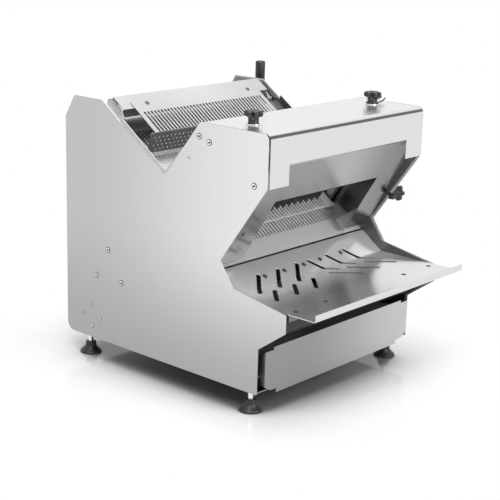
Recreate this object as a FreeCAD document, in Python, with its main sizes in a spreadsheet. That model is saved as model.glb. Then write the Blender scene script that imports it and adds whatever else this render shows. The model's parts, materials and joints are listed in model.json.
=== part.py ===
import FreeCAD, Part
import math
import os
import re
import Sketcher

# Table-top bread slicer: a loaf dropped into the vee is pushed down a slope
# through two reciprocating blade frames, and the slices slide out on a tray.
# Millimetres. X runs to the right seen from the front, the front faces -Y, and
# the floor is at Z = 0. Pieces of the blade bank are drawn upright, in slope
# axes, and turned about X by the slope angle: their Y runs up the feed slope
# and their Z runs up the blades.

SIZES = [
    # overall
    ("width", 620, "outer faces of the side plates"),
    ("skin", 2.5, "side plate thickness"),
    ("liner", 3, "inner side frame thickness"),
    ("sheet_wall", 2, "bent sheet thickness"),
    ("fit_gap", 0.5, "gap between pieces that lie side by side"),
    ("slope", 35, "angle of the feed slope; the blades stand square to it"),
    # side plate outline
    ("floor_gap", 60, "underside of the side plates above the floor"),
    ("rear_y", 383, ""),
    ("rear_shoulder_z", 646, ""),
    ("rear_top_y", 348, ""),
    ("top_z", 703, ""),
    ("slope_top_y", 243, "upper end of the vee's rear edge"),
    ("vee_y", 17, ""),
    ("vee_z", 545, "bottom of the vee"),
    ("hood_rear_y", -100, ""),
    ("hood_z", 693, "top of the hood"),
    ("front_y", -313, ""),
    ("hood_leg_z", 565, "lower end of the hood's front"),
    ("waist_y", -173, ""),
    ("waist_z", 369, ""),
    ("chute_side_y", -215, ""),
    ("chute_side_z", 310, ""),
    ("toe_y", -382, ""),
    ("toe_top_z", 281, ""),
    ("toe_low_z", 235, ""),
    ("base_front_y", -300, ""),
    ("base_step_z", 176, ""),
    ("rear_panel_top", 618, ""),
    ("side_hole_y", -64.6, "small hole in the side plates"),
    ("side_hole_z", 601.4, ""),
    ("side_hole_radius", 4, ""),
    ("rear_corner_radius", 24, "lower rear corner of the side plates"),
    ("vee_radius", 16, ""),
    ("hood_bend", 16, "outer bend radius of the hood"),
    ("liner_show", 9, "how far the inner frame stands above the vee's rear edge"),
    ("liner_inset", 4, "how far the inner frame stays inside the other edges"),
    ("liner_low", 72, "from the top of the slope to the end of the inner frame's raised edge"),
    # hood
    ("hood_front_step", 2.5, "hood front ahead of the side plates"),
    ("hood_guard_drop", 50, "rear guard of the hood, down the vee"),
    ("hood_cut_inset", 75, "ends of the cut-out in the hood front, from the outer faces"),
    ("hood_cut_z", 615, "top of that cut-out"),
    # mouth frame
    ("mouth_angle", 58.5, "slope of the mouth frame"),
    ("mouth_flange_z", 655, "top of its hidden upright flange"),
    ("mouth_bend_z", 611, ""),
    ("mouth_low_z", 352, "lower edge"),
    ("mouth_inset", 105, "ends of the outlet, from the outer faces"),
    ("mouth_top_z", 510, ""),
    # chute and tray
    ("tray_z", 283, "top surface of the tray"),
    ("chute_bend_y", -208, "bend between chute and tray"),
    ("chute_length", 82, ""),
    ("lip_y", -466, "front face of the tray lip"),
    ("lip_height", 17, ""),
    ("sheet_bend", 3, "inner bend radius of bent sheets"),
    ("slot_width", 11.5, ""),
    ("slot_pitch", 75, ""),
    ("bend_slot_x", 53.5, "first slot where it crosses the bend"),
    ("bend_slot_up", 33, ""),
    ("bend_slot_out", 24, ""),
    ("tray_slot_x", 36, "first tray slot, inner end"),
    ("tray_slot_start", 34, "distance of its inner end from the bend"),
    ("tray_slot_run", 56, "run of a tray slot both ways"),
    # drawer
    ("drawer_face_inset", 17, "ends of the drawer face, from the outer faces"),
    ("drawer_face_y", -311, ""),
    ("drawer_face_top", 174, ""),
    ("drawer_face_low", 55, ""),
    ("drawer_notch", 32, "width of the corner notches in the drawer face"),
    ("drawer_inset", 32, ""),
    ("drawer_floor_z", 70, ""),
    ("drawer_height", 78, ""),
    ("drawer_depth", 400, ""),
    # feet
    ("foot_inset", 32, "foot centres, from the outer faces"),
    ("foot_front_y", -255, ""),
    ("foot_rear_y", 326, ""),
    ("foot_radius", 29, ""),
    ("foot_height", 30, ""),
    ("stud_radius", 7, ""),
    # blade bank, in slope axes
    ("blade_pitch", 12, "slice thickness"),
    ("blade_count", 38, ""),
    ("blade_wall", 0.8, ""),
    ("blade_deep", 12, ""),
    ("bank_front", 191, "front face of the front blade frame"),
    ("frame_deep", 20, ""),
    ("frame_space", 10, "between the two blade frames"),
    ("rod_space", 16, "room for the connecting rods between frames and rails"),
    ("frame_bar", 14, "width of its upright bars"),
    ("frame_low", 150, ""),
    ("frame_high", 640, ""),
    ("cross_bar", 24, "height of its cross bars"),
    ("blade_throw", 10, "half the blade stroke"),
    ("rail_wide", 7, "width of a guide rail across the slope"),
    ("rail_deep", 12, "how far the guide rails stand in from the inner frames"),
    ("slide_gap", 0.5, "running gap of the guide shoes"),
    # drive
    ("crank_y", 220, ""),
    ("crank_z", 262, ""),
    ("shaft_radius", 12.5, ""),
    ("eccentric_radius", 22, ""),
    ("rod_eye_gap", 1.5, "clearance left round the open crank pivot"),
    ("rod_pivot_up", 330, "height of the rod pivots up the frames"),
    ("pin_radius", 6, ""),
    ("running_gap", 0.05, "radial clearance of shafts in their bearings"),
    ("motor_y", 285, ""),
    ("motor_z", 121, ""),
    ("motor_radius", 50, ""),
    ("motor_length", 190, ""),
    ("motor_pulley_radius", 25, ""),
    ("crank_pulley_radius", 50, ""),
    ("pulley_wide", 20, ""),
    ("pulley_left_x", -95, ""),
    ("belt_wall", 4, ""),
    ("bearing_radius", 26, ""),
    ("bearing_deep", 16, ""),
    # loaf path, in slope axes
    ("table_up", 385, "top of the loaf table"),
    ("table_front", 262, ""),
    ("table_rear", 590, ""),
    ("table_slot_front", 446, ""),
    ("table_slot_rear", 526, ""),
    ("comb_slot", 4.6, "slot width of the combs"),
    ("guide_front", 163, "slice guide, lower edge"),
    ("guide_front_up", 371, ""),
    ("guide_rear", 255, ""),
    ("guide_rear_up", 384, ""),
    ("guide_sag", 7, "depth of its curve"),
    ("guide_gap", 6, "between the slice guide's ends and the blade frames"),
    ("outlet_up", 351, "top of the outlet comb"),
    ("outlet_front", 80, ""),
    ("outlet_rear", 182, ""),
    ("outlet_plain", 55, "from the outlet comb's front edge to its slots"),
    ("guide_plain", 5, "from the slice guide's lower edge to its slots"),
    ("deflector_front", 80, "sloping plates beside the outlet"),
    ("deflector_rear", 127, ""),
    ("deflector_wide", 64, ""),
    ("deflector_rise", 31, ""),
    # pusher, in slope axes
    ("pusher_up", 444, "underside of the pusher comb"),
    ("pusher_front", 459, ""),
    ("pusher_slot_end", 533, ""),
    ("pusher_rear", 572, ""),
    ("face_gap", 7, "between the pusher face's ends and the blade frames"),
    ("face_drop", 49, ""),
    ("face_lean", 19, "how far the foot of the pusher face stands ahead"),
    ("rib_slot", 6.5, "slot width of the pusher comb"),
    ("plate_inset", 15, "inner faces of the pusher's end plates, from the guide rails"),
    ("pusher_rail_up", 407, ""),
    ("pusher_rail_high", 8, ""),
    ("pusher_travel", 195, ""),
    ("arm_rise", 2, "handle arm over the loaf table"),
    ("arm_high", 10, ""),
    ("arm_long", 22, ""),
    ("arm_gap", 1, "clearance of the arm in its slot"),
    # handle
    ("grip_stand", 18, "grip axis outside the side plate"),
    ("grip_y", 270, ""),
    ("grip_low", 645, ""),
    ("grip_top", 750, ""),
    ("grip_radius", 14, ""),
    # knobs
    ("knob_radius", 23, ""),
    ("knob_high", 15, ""),
    ("knob_neck", 16, ""),
    ("knob_washer_radius", 17, ""),
    ("knob_inset", 75, ""),
    ("knob_y", -201, ""),
    ("side_knob_y", -222, ""),
    ("side_knob_z", 443, ""),
    ("side_knob_reach", 42, "how far the side knob stands off the side plate"),
    # switch box
    ("box_y", 110, ""),
    ("box_z", 400, ""),
    ("box_wide", 70, ""),
    ("box_high", 110, ""),
    ("box_deep", 28, ""),
    ("button_radius", 11, ""),
    ("button_rise", 5, ""),
    ("button_travel", 3, ""),
    ("screw_head", 1.6, "how far a ringed screw stands proud"),
    ("screw_ring", 6.5, ""),
]

os.makedirs("parts", exist_ok=True)
# Half widths that follow from the sizes above
WORKED_OUT = {
    "hood_cut_half": "width / 2 - hood_cut_inset",
    "mouth_half": "width / 2 - mouth_inset",
    "drawer_face_half": "width / 2 - drawer_face_inset",
    "drawer_half": "width / 2 - drawer_inset",
    "foot_x": "width / 2 - foot_inset",
    "rail_inner": "width / 2 - skin - liner - fit_gap - rail_deep",
    "frame_inner": "rail_inner - rod_space - frame_bar",
    "guide_half": "frame_inner - guide_gap",
    "face_half": "frame_inner - face_gap",
    "arm_up": "table_up + arm_rise",
    "pusher_half": "(blade_count / 2 + 1) * blade_pitch",
    "pusher_plate_x": "rail_inner - plate_inset",
    "knob_x": "width / 2 - knob_inset",
    "grip_x": "width / 2 + grip_stand",
}

doc = FreeCAD.newDocument("BreadSlicer")
sizes = doc.addObject("Spreadsheet::Sheet", "Sizes")
for row, (alias, value, note) in enumerate(SIZES, start=1):
    sizes.set("A%d" % row, str(value))
    sizes.setAlias("A%d" % row, alias)
    sizes.set("B%d" % row, note)
doc.recompute()

NAMES = {alias for alias, value, note in SIZES}
FORWARD = FreeCAD.Vector(1, 0, 0)
EDGEWISE = {"X": FreeCAD.Rotation(FreeCAD.Vector(0, 1, 0), 90),
            "Y": FreeCAD.Rotation(FreeCAD.Vector(1, 0, 0), -90),
            "Z": FreeCAD.Rotation()}
MIDDLE_X = "(screw_head - side_knob_reach) / 2"
MIDDLE_Y = "(0 - lip_y - rear_y) / 2"
nodes = []
own_place = {}


def bound(text):
    """The same formula with every size read from the sheet."""
    def read(match):
        word = match.group()
        if word in WORKED_OUT:
            return "(%s)" % bound(WORKED_OUT[word])
        return "Sizes." + word if word in NAMES else word

    return re.sub(r"[a-z_]+", read, str(text))


def size(text):
    """The value of a formula of sizes."""
    return float(sizes.evalExpression(bound(text)))


def place(item, x=0, y=0, z=0):
    """Binds the position of an object to formulas of sizes."""
    own_place[item.Name] = (x, y, z)
    for axis, formula in zip("xyz", (x, y, z)):
        item.setExpression("Placement.Base." + axis, bound(formula))
    return item


def box(low, high, name="Block"):
    """A block between two corners, each a formula of sizes."""
    item = doc.addObject("Part::Box", name)
    for key, start, end in zip(("Length", "Width", "Height"), low, high):
        item.setExpression(key, bound("(%s) - (%s)" % (end, start)))
    return place(item, *low)


def rod(axis, radius, length, base, name="Round"):
    """A cylinder from its base point along X, Y or Z."""
    item = doc.addObject("Part::Cylinder", name)
    item.Placement = FreeCAD.Placement(FreeCAD.Vector(), EDGEWISE[axis])
    item.setExpression("Radius", bound(radius))
    item.setExpression("Height", bound(length))
    return place(item, *base)


def cone(low_radius, high_radius, height, base):
    """An upright cone cut off at its top."""
    item = doc.addObject("Part::Cone", "Flare")
    item.setExpression("Radius1", bound(low_radius))
    item.setExpression("Radius2", bound(high_radius))
    item.setExpression("Height", bound(height))
    return place(item, *base)


def fuse(*items):
    item = doc.addObject("Part::MultiFuse", "Joined")
    item.Shapes = list(items)
    item.Refine = True
    return item


def group(*items):
    """Alike pieces kept as separate solids."""
    item = doc.addObject("Part::Compound", "Set")
    item.Links = list(items)
    return item


def cut(base, *tools):
    item = doc.addObject("Part::Cut", "Trimmed")
    item.Base = base
    item.Tool = tools[0] if len(tools) == 1 else group(*tools)
    return item


def tilt(item):
    """Turns a piece drawn in slope axes onto the feed slope."""
    item.Placement = FreeCAD.Placement(FreeCAD.Vector(), FreeCAD.Rotation(FORWARD, 1))
    item.setExpression("Placement.Rotation.Angle", "Sizes.slope")
    return item


def node(item, label):
    """Names a finished piece and moves it to the part's own origin."""
    x, y, z = own_place.get(item.Name, (0, 0, 0))
    place(item, "(%s) + %s" % (x, MIDDLE_X), "(%s) + %s" % (y, MIDDLE_Y), z)
    item.Label = label
    nodes.append(item)
    return item


def both_sides(make):
    """The left and the right copy of a piece; make gets -1 and 1."""
    return [make(-1), make(1)]


def span(side, inner, outer):
    """Low and high X of something between two half widths on one side."""
    return (inner, outer) if side > 0 else ("-(%s)" % outer, "-(%s)" % inner)


def side_box(side, inner, outer, low, high, name="Block"):
    start, end = span(side, inner, outer)
    return box((start,) + low, (end,) + high, name)


def plane_of(body, role):
    return [feature for feature in body.Origin.OriginFeatures if feature.Role == role][0]


def outline(body, role, points, offset=0):
    """A closed sketch whose corners are bound to formulas of sizes."""
    sketch = body.newObject("Sketcher::SketchObject", "Outline")
    sketch.AttachmentSupport = [(plane_of(body, role), "")]
    sketch.MapMode = "FlatFace"
    sketch.setExpression("AttachmentOffset.Base.z", bound(offset))
    corners = [FreeCAD.Vector(size(x), size(y), 0) for x, y in points]
    for start, end in zip(corners, corners[1:] + corners[:1]):
        sketch.addGeometry(Part.LineSegment(start, end))
    for index, corner in enumerate(corners):
        sketch.addConstraint(Sketcher.Constraint("Coincident", index, 2, (index + 1) % len(corners), 1))
    for index, corner in enumerate(corners):
        for kind, value, formula in zip(("DistanceX", "DistanceY"), corner, points[index]):
            number = sketch.addConstraint(Sketcher.Constraint(kind, -1, 1, index, 1, value))
            sketch.setExpression("Constraints[%d]" % number, bound(formula))
    return sketch


def pad(body, sketch, length):
    feature = body.newObject("PartDesign::Pad", "Pad")
    feature.Profile = sketch
    feature.setExpression("Length", bound(length))
    sketch.Visibility = False
    return feature


def soften(body, feature, axis, corners):
    """Rounds the edges along one axis that run through the given corners."""
    doc.recompute()
    wanted = [(size(a), size(b), radius) for a, b, radius in corners]
    for first, second, radius in wanted:
        names = []
        for number, edge in enumerate(body.Shape.Edges, start=1):
            start, end = edge.Vertexes[0].Point, edge.Vertexes[-1].Point
            across = [i for i in range(3) if i != "XYZ".index(axis)]
            near = all(math.hypot(p[across[0]] - first, p[across[1]] - second) < 0.05 for p in (start, end))
            if near and len(edge.Vertexes) == 2:
                names.append("Edge%d" % number)
        rounding = body.newObject("PartDesign::Fillet", "Round")
        rounding.Base = (feature, names)
        rounding.setExpression("Radius", bound(radius))
        feature = rounding
        doc.recompute()
    return feature


def body_of(role, points, offset, length, rounded=(), axis="X"):
    """A flat piece cut from plate: its outline, padded, with rounded corners."""
    body = doc.addObject("PartDesign::Body", "Plate")
    feature = pad(body, outline(body, role, points, offset), length)
    if rounded:
        soften(body, feature, axis, rounded)
    return body


def bent_path(points, radius, wall, side):
    """Lines and bend arcs of one face of a bent sheet; side is 1 on the face left of the path."""
    edges = []
    last = points[0]
    for before, corner, after in zip(points, points[1:], points[2:]):
        arrive = (corner - before).normalize()
        leave = (after - corner).normalize()
        turn = arrive.x * leave.y - arrive.y * leave.x
        bend = radius if turn * side > 0 else radius + wall
        half = math.acos(max(-1, min(1, arrive.dot(leave)))) / 2
        reach = bend * math.tan(half)
        start, end = corner - arrive * reach, corner + leave * reach
        inward = (leave - arrive).normalize()
        middle = corner + inward * (bend / math.cos(half) - bend)
        edges.append(Part.LineSegment(last, start).toShape())
        edges.append(Part.Arc(start, middle, end).toShape())
        last = end
    edges.append(Part.LineSegment(last, points[-1]).toShape())
    return edges


def shifted(points, wall):
    """The corners of the face that lies one wall to the left of a path."""
    turned = []
    steps = [(b - a).normalize() for a, b in zip(points, points[1:])]
    left = [FreeCAD.Vector(-step.y, step.x, 0) for step in steps]
    for index, corner in enumerate(points):
        before, after = left[max(index - 1, 0)], left[min(index, len(left) - 1)]
        turned.append(corner + (before + after) * (wall / (1 + before.dot(after))))
    return turned


def bent_sheet(path, half_width, wall="sheet_wall", radius="sheet_bend"):
    """A sheet bent along a path in YZ, one wall thick to the left of the path, as wide as the machine."""
    points = [FreeCAD.Vector(size(y), size(z), 0) for y, z in path]
    thick = size(wall)
    bend = size(radius)
    near = bent_path(points, bend, thick, -1)
    far_points = shifted(points, thick)
    far = bent_path(far_points, bend, thick, 1)
    caps = [Part.LineSegment(points[0], far_points[0]).toShape(),
            Part.LineSegment(points[-1], far_points[-1]).toShape()]
    flat = Part.Face(Part.Wire(Part.__sortEdges__(near + far + caps)))
    flat.rotate(FreeCAD.Vector(), FreeCAD.Vector(1, 1, 1), 120)
    flat.translate(FreeCAD.Vector(-size(half_width), 0, 0))
    item = doc.addObject("Part::Feature", "BentSheet")
    item.Shape = flat.extrude(FreeCAD.Vector(2 * size(half_width), 0, 0))
    return item


# Sizes that follow from the driving ones
HALF = "width / 2"
SKIN_X = "(width / 2 - skin)"
LINER_X = "(width / 2 - skin - liner)"
INNER_X = "(%s - fit_gap)" % LINER_X


# Side plates and inner frames
def along_slope(y, lift):
    """Height of the vee's rear edge at y, raised square to it."""
    return "vee_z + (%s - vee_y) * tan(slope) + (%s) / cos(slope)" % (y, lift)


SIDE_OUTLINE = [
    ("rear_y", "floor_gap"), ("rear_y", "rear_shoulder_z"), ("rear_top_y", "top_z"), ("slope_top_y", "top_z"),
    ("vee_y", "vee_z"), ("hood_rear_y", "hood_z"), ("front_y", "hood_z"), ("front_y", "hood_leg_z"),
    ("waist_y", "waist_z"), ("chute_side_y", "chute_side_z"), ("toe_y", "toe_top_z"), ("toe_y", "toe_low_z"),
    ("base_front_y", "base_step_z"), ("base_front_y", "floor_gap")]
SIDE_ROUNDS = [("rear_y", "floor_gap", "rear_corner_radius"), ("vee_y", "vee_z", "vee_radius"),
               ("front_y", "hood_z", "hood_bend"), ("rear_y", "rear_shoulder_z", 5), ("rear_top_y", "top_z", 5),
               ("hood_rear_y", "hood_z", 5), ("waist_y", "waist_z", 3), ("toe_y", "toe_top_z", 3),
               ("base_front_y", "floor_gap", 4)]
LINER_OUTLINE = [
    ("rear_y - liner_inset", "floor_gap + liner_inset"), ("rear_y - liner_inset", "rear_shoulder_z - liner_inset"),
    ("rear_top_y - liner_inset", "top_z - liner_inset"), ("slope_top_y - liner_inset", "top_z - liner_inset"),
    ("slope_top_y - liner_low + 4", along_slope("slope_top_y - liner_low + 4", "0 - liner_inset")),
    ("slope_top_y - liner_low", along_slope("slope_top_y - liner_low", "liner_show")),
    ("vee_y", along_slope("vee_y", "liner_show")),
    ("hood_rear_y", "hood_z - liner_inset"), ("front_y + liner_inset", "hood_z - liner_inset"),
    ("front_y + liner_inset", "hood_leg_z + liner_inset"), ("waist_y + 2 * liner_inset", "waist_z"),
    ("chute_side_y + 2 * liner_inset", "chute_side_z"), ("toe_y + liner_inset", "toe_top_z - liner_inset"),
    ("toe_y + liner_inset", "toe_low_z + liner_inset"), ("base_front_y + liner_inset", "base_step_z + liner_inset"),
    ("base_front_y + liner_inset", "floor_gap + liner_inset")]
LINER_ROUNDS = [("rear_y - liner_inset", "floor_gap + liner_inset", "rear_corner_radius - liner_inset"),
                ("front_y + liner_inset", "hood_z - liner_inset", "hood_bend - liner_inset")]


def bearing_hole(side):
    start, end = span(side, LINER_X, HALF)
    return rod("X", "bearing_radius", "(%s) - (%s)" % (end, start), (start, "crank_y", "crank_z"))


left_skin = body_of("YZ_Plane", SIDE_OUTLINE, "-(%s)" % HALF, "skin", SIDE_ROUNDS)
right_skin = body_of("YZ_Plane", SIDE_OUTLINE, SKIN_X, "skin", SIDE_ROUNDS)
LEFT_HOLE, RIGHT_HOLE = both_sides(
    lambda side: rod("X", "side_hole_radius", "skin", (span(side, SKIN_X, HALF)[0], "side_hole_y", "side_hole_z")))
node(cut(left_skin, LEFT_HOLE), "left_side_plate")
knob_hole = rod("X", "stud_radius + running_gap", "skin", (SKIN_X, "side_knob_y", "side_knob_z"))


def arm_slot():
    """The long opening in which the handle arm runs, through the right plate and its inner frame."""
    return tilt(group(box((LINER_X, "pusher_rear + 13 - pusher_travel - arm_gap", "arm_up - arm_gap"),
                          (HALF, "pusher_rear + 13 + arm_long + arm_gap", "arm_up + arm_high + arm_gap"))))


node(cut(right_skin, knob_hole, RIGHT_HOLE, arm_slot()), "right_side_plate")
left_liner = body_of("YZ_Plane", LINER_OUTLINE, "-%s" % SKIN_X, "liner", LINER_ROUNDS)
right_liner = body_of("YZ_Plane", LINER_OUTLINE, LINER_X, "liner", LINER_ROUNDS)
inner_knob_hole = rod("X", "stud_radius + running_gap", "liner", (LINER_X, "side_knob_y", "side_knob_z"))
node(cut(left_liner, bearing_hole(-1)), "left_inner_frame")
node(cut(right_liner, bearing_hole(1), inner_knob_hole, arm_slot()), "right_inner_frame")

# Hood: rear guard down the vee, top, and front with the cut-out
HOOD_HALF = "(%s - fit_gap)" % LINER_X
hood_face = "front_y - hood_front_step"
guard_run = "hood_guard_drop * (vee_y - hood_rear_y) / sqrt((vee_y - hood_rear_y)^2 + (hood_z - vee_z)^2)"
guard_fall = "hood_guard_drop * (hood_z - vee_z) / sqrt((vee_y - hood_rear_y)^2 + (hood_z - vee_z)^2)"
hood_sheet = bent_sheet(
    [("hood_rear_y + %s" % guard_run, "hood_z - %s" % guard_fall), ("hood_rear_y", "hood_z"),
     (hood_face, "hood_z"), (hood_face, "hood_leg_z")],
    HOOD_HALF, radius="hood_bend - sheet_wall")
hood_cut = box(("-hood_cut_half", "front_y - 20", "hood_leg_z - 1"), ("hood_cut_half", "front_y + 20", "hood_cut_z"))


def knob_bore(side, low, high):
    start, end = span(side, "knob_x", "knob_x")
    return rod("Z", "stud_radius + running_gap", "(%s) - (%s)" % (high, low), (start, "knob_y", low))


node(cut(hood_sheet, hood_cut, *both_sides(lambda side: knob_bore(side, "hood_z - 10", "hood_z + 5"))), "hood_cover")
crossbar = box(("-" + INNER_X, "knob_y - 14", "hood_z - sheet_wall - 15.5"),
               (INNER_X, "knob_y + 14", "hood_z - sheet_wall - fit_gap"))
node(cut(crossbar, *both_sides(lambda side: knob_bore(side, "hood_z - 20", "hood_z"))), "hood_crossbar")

# Mouth frame
MOUTH_Y = "(front_y - 0.2)"
mouth_foot = MOUTH_Y + " + (mouth_bend_z - mouth_low_z) / tan(mouth_angle)"
mouth_sheet = bent_sheet([(MOUTH_Y, "mouth_flange_z"), (MOUTH_Y, "mouth_bend_z"), (mouth_foot, "mouth_low_z")],
                         INNER_X)
mouth_hole = box(("-mouth_half", "front_y", "mouth_low_z - 10"), ("mouth_half", "0", "mouth_top_z"))
node(cut(mouth_sheet, mouth_hole), "mouth_frame")

# Chute and tray, one bent sheet with slanting slots
CHUTE_RUN = "chute_length * cos(slope)"
chute_sheet = bent_sheet(
    [("chute_bend_y + " + CHUTE_RUN, "tray_z + chute_length * sin(slope)"), ("chute_bend_y", "tray_z"),
     ("lip_y + sheet_wall", "tray_z"), ("lip_y + sheet_wall", "tray_z + lip_height")], INNER_X)


def slanted_slot(x, y, run):
    """An upright slot cutter at 45 degrees, outward and to the front, with round ends."""
    middle = doc.addObject("Part::Box", "SlotCutter")
    middle.Placement = FreeCAD.Placement(FreeCAD.Vector(), FreeCAD.Rotation(FreeCAD.Vector(0, 0, 1), -45))
    middle.setExpression("Length", bound("(%s) * sqrt(2)" % run))
    middle.setExpression("Width", bound("slot_width"))
    middle.Height = 120
    place(middle, "(%s) - slot_width / sqrt(8)" % x, "(%s) - slot_width / sqrt(8)" % y, "tray_z - 20")
    ends = [rod("Z", "slot_width / 2", 120, ("(%s) + %s" % (x, step), "(%s) - %s" % (y, step), "tray_z - 20"))
            for step in ("0", "(%s)" % run)]
    return fuse(middle, *ends)


slots = []
for number in range(3):
    shift = "%d * slot_pitch" % number
    slots.append(slanted_slot("bend_slot_x - 0.9 * bend_slot_up + " + shift, "chute_bend_y + 0.9 * bend_slot_up",
                              "0.9 * bend_slot_up + bend_slot_out"))
    slots.append(slanted_slot("tray_slot_x + " + shift, "chute_bend_y - tray_slot_start", "tray_slot_run"))
right_slots = group(*slots)
left_slots = doc.addObject("Part::Mirroring", "LeftSlots")
left_slots.Source = right_slots
left_slots.Normal = FORWARD
node(cut(chute_sheet, right_slots, left_slots), "chute_tray")

# Rear, floor and the panel under the tray
node(bent_sheet([("rear_y - 2.5", "floor_gap + 6"), ("rear_y - 2.5", "rear_panel_top"),
                 ("rear_y - 24", "rear_panel_top")], INNER_X), "rear_panel")
pan_sheet = bent_sheet([("base_front_y + 3", "floor_gap + 2"), ("rear_y - 7", "floor_gap + 2"),
                        ("rear_y - 7", "floor_gap + 30")], INNER_X)
FEET = [(x, y) for x in ("foot_x", "-foot_x") for y in ("foot_front_y", "foot_rear_y")]
pan_holes = [rod("Z", "stud_radius + running_gap", 20, (x, y, "floor_gap - 5")) for x, y in FEET]
node(cut(pan_sheet, *pan_holes), "base_pan")
under_tray = [("toe_y + 10", "tray_z - 4"), ("toe_y + 10", "toe_low_z + 3"), ("base_front_y + 4", "base_step_z + 8")]
node(bent_sheet(under_tray, INNER_X), "under_tray_panel")


def tray_bracket(x):
    low_x, high_x = "(%s) - 15" % x, "(%s) + 15" % x
    leaf = box((low_x, "toe_y - 14", "tray_z - 4.6"), (high_x, "toe_y + 9.6", "tray_z - 2.4"))
    leg = box((low_x, "toe_y + 7.4", "tray_z - 26"), (high_x, "toe_y + 9.6", "tray_z - 2.4"))
    return fuse(leaf, leg)


TRAY_SCREW_X = ["-274", "-162", "162", "274"]
node(group(*[tray_bracket(x) for x in TRAY_SCREW_X]), "tray_brackets")

# Guide rails of the blade frames, in slope axes
FRAME_STARTS = ["bank_front", "bank_front + frame_deep + frame_space"]
RAIL_STARTS = ["bank_front - slide_gap - rail_wide", "bank_front + frame_deep + slide_gap",
               "bank_front + 2 * frame_deep + frame_space + slide_gap"]
RAIL_ENDS = ["bank_front - slide_gap", "bank_front + frame_deep + frame_space - slide_gap",
             "bank_front + 2 * frame_deep + frame_space + slide_gap + rail_wide"]


def guide_rails(side):
    return [side_box(side, "rail_inner", INNER_X, (start, "frame_low - 30"), (end, "frame_high + 10"))
            for start, end in zip(RAIL_STARTS, RAIL_ENDS)]


for side, word in ((-1, "left"), (1, "right")):
    node(tilt(group(*guide_rails(side))), "guide_rails_" + word)
    pusher_rail = side_box(side, "rail_inner - 2", INNER_X, ("bank_front + 60", "pusher_rail_up"),
                           ("pusher_rear + 43", "pusher_rail_up + pusher_rail_high"))
    node(tilt(group(pusher_rail)), "pusher_rail_" + word)

# Loaf table and combs, in slope axes
def pitch_row(count):
    """Places one blade pitch apart, centred on the machine."""
    return ["(%.1f * blade_pitch)" % (number - (count - 1) / 2) for number in range(count)]


BLADES = pitch_row(int(size("blade_count")))
TABLE_SLOTS = pitch_row(len(BLADES) + 4)


def slot_row(width, low, high, places=BLADES):
    """One slot cutter at every blade."""
    return [box(("%s - %s / 2" % (x, width),) + low, ("%s + %s / 2" % (x, width),) + high) for x in places]


table = box(("-" + INNER_X, "table_front", "table_up - sheet_wall"), (INNER_X, "table_rear", "table_up"))
table_apron = box(("-" + INNER_X, "table_front", "table_up - 30"),
                  (INNER_X, "table_front + sheet_wall", "table_up - 1"))
table_slots = slot_row("rib_slot", ("table_slot_front", "table_up - 2 * sheet_wall"),
                       ("table_slot_rear", "table_up + sheet_wall"), TABLE_SLOTS)
node(tilt(cut(fuse(table, table_apron), *table_slots)), "bread_table")
outlet = box(("-" + INNER_X, "outlet_front", "outlet_up - sheet_wall"), (INNER_X, "outlet_rear", "outlet_up"))
node(tilt(cut(outlet, *slot_row("comb_slot", ("outlet_front + outlet_plain", "outlet_up - 2 * sheet_wall"),
                                ("outlet_rear + 5", "outlet_up + sheet_wall")))), "outlet_comb")
node(tilt(group(*both_sides(lambda side: side_box(
    side, "guide_half - 24", "guide_half + 2", ("guide_front + 1", "outlet_up + fit_gap"),
    ("guide_front + 17", "guide_front_up - 3 * sheet_wall"))))), "comb_blocks")


def deflector(side):
    """A plate that slopes down from the inner frame to the outlet comb."""
    near, far = "(%s - deflector_wide)" % INNER_X, INNER_X
    points = [(near, "outlet_up + 0.1"), (far, "outlet_up + deflector_rise"),
              (far, "outlet_up + deflector_rise + sheet_wall"), (near, "outlet_up + 0.1 + sheet_wall")]
    if side < 0:
        points = [("-" + x, up) for x, up in reversed(points)]
    return body_of("XZ_Plane", points, "0 - deflector_rear", "deflector_rear - deflector_front")


node(tilt(group(*both_sides(deflector))), "outlet_deflectors")


def curved_guide():
    """A sheet hollow to the loaf side, from its lower edge up to the rear edge."""
    low = FreeCAD.Vector(size("-guide_half"), size("guide_front"), size("guide_front_up"))
    high = FreeCAD.Vector(size("-guide_half"), size("guide_rear"), size("guide_rear_up"))
    middle = (low + high) * 0.5 - FreeCAD.Vector(0, 0, size("guide_sag"))
    drop = FreeCAD.Vector(0, 0, -size("sheet_wall"))
    upper = Part.Arc(low, middle, high).toShape()
    under = Part.Arc(low + drop, middle + drop, high + drop).toShape()
    ends = [Part.LineSegment(low, low + drop).toShape(), Part.LineSegment(high, high + drop).toShape()]
    item = doc.addObject("Part::Feature", "CurvedSheet")
    profile = Part.Face(Part.Wire(Part.__sortEdges__([upper, under] + ends)))
    item.Shape = profile.extrude(FreeCAD.Vector(2 * size("guide_half"), 0, 0))
    return item


node(tilt(cut(curved_guide(), *slot_row("comb_slot", ("guide_front + guide_plain", "guide_front_up - 30"),
                                        ("guide_rear + 5", "guide_rear_up + 20")))), "slice_guide")

# Blade frames, blades and connecting rods, in slope axes
FRAME_OUTER = "(frame_inner + frame_bar)"
CRANK_N = "(crank_y * cos(slope) + crank_z * sin(slope))"
CRANK_S = "(crank_z * cos(slope) - crank_y * sin(slope))"


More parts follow.
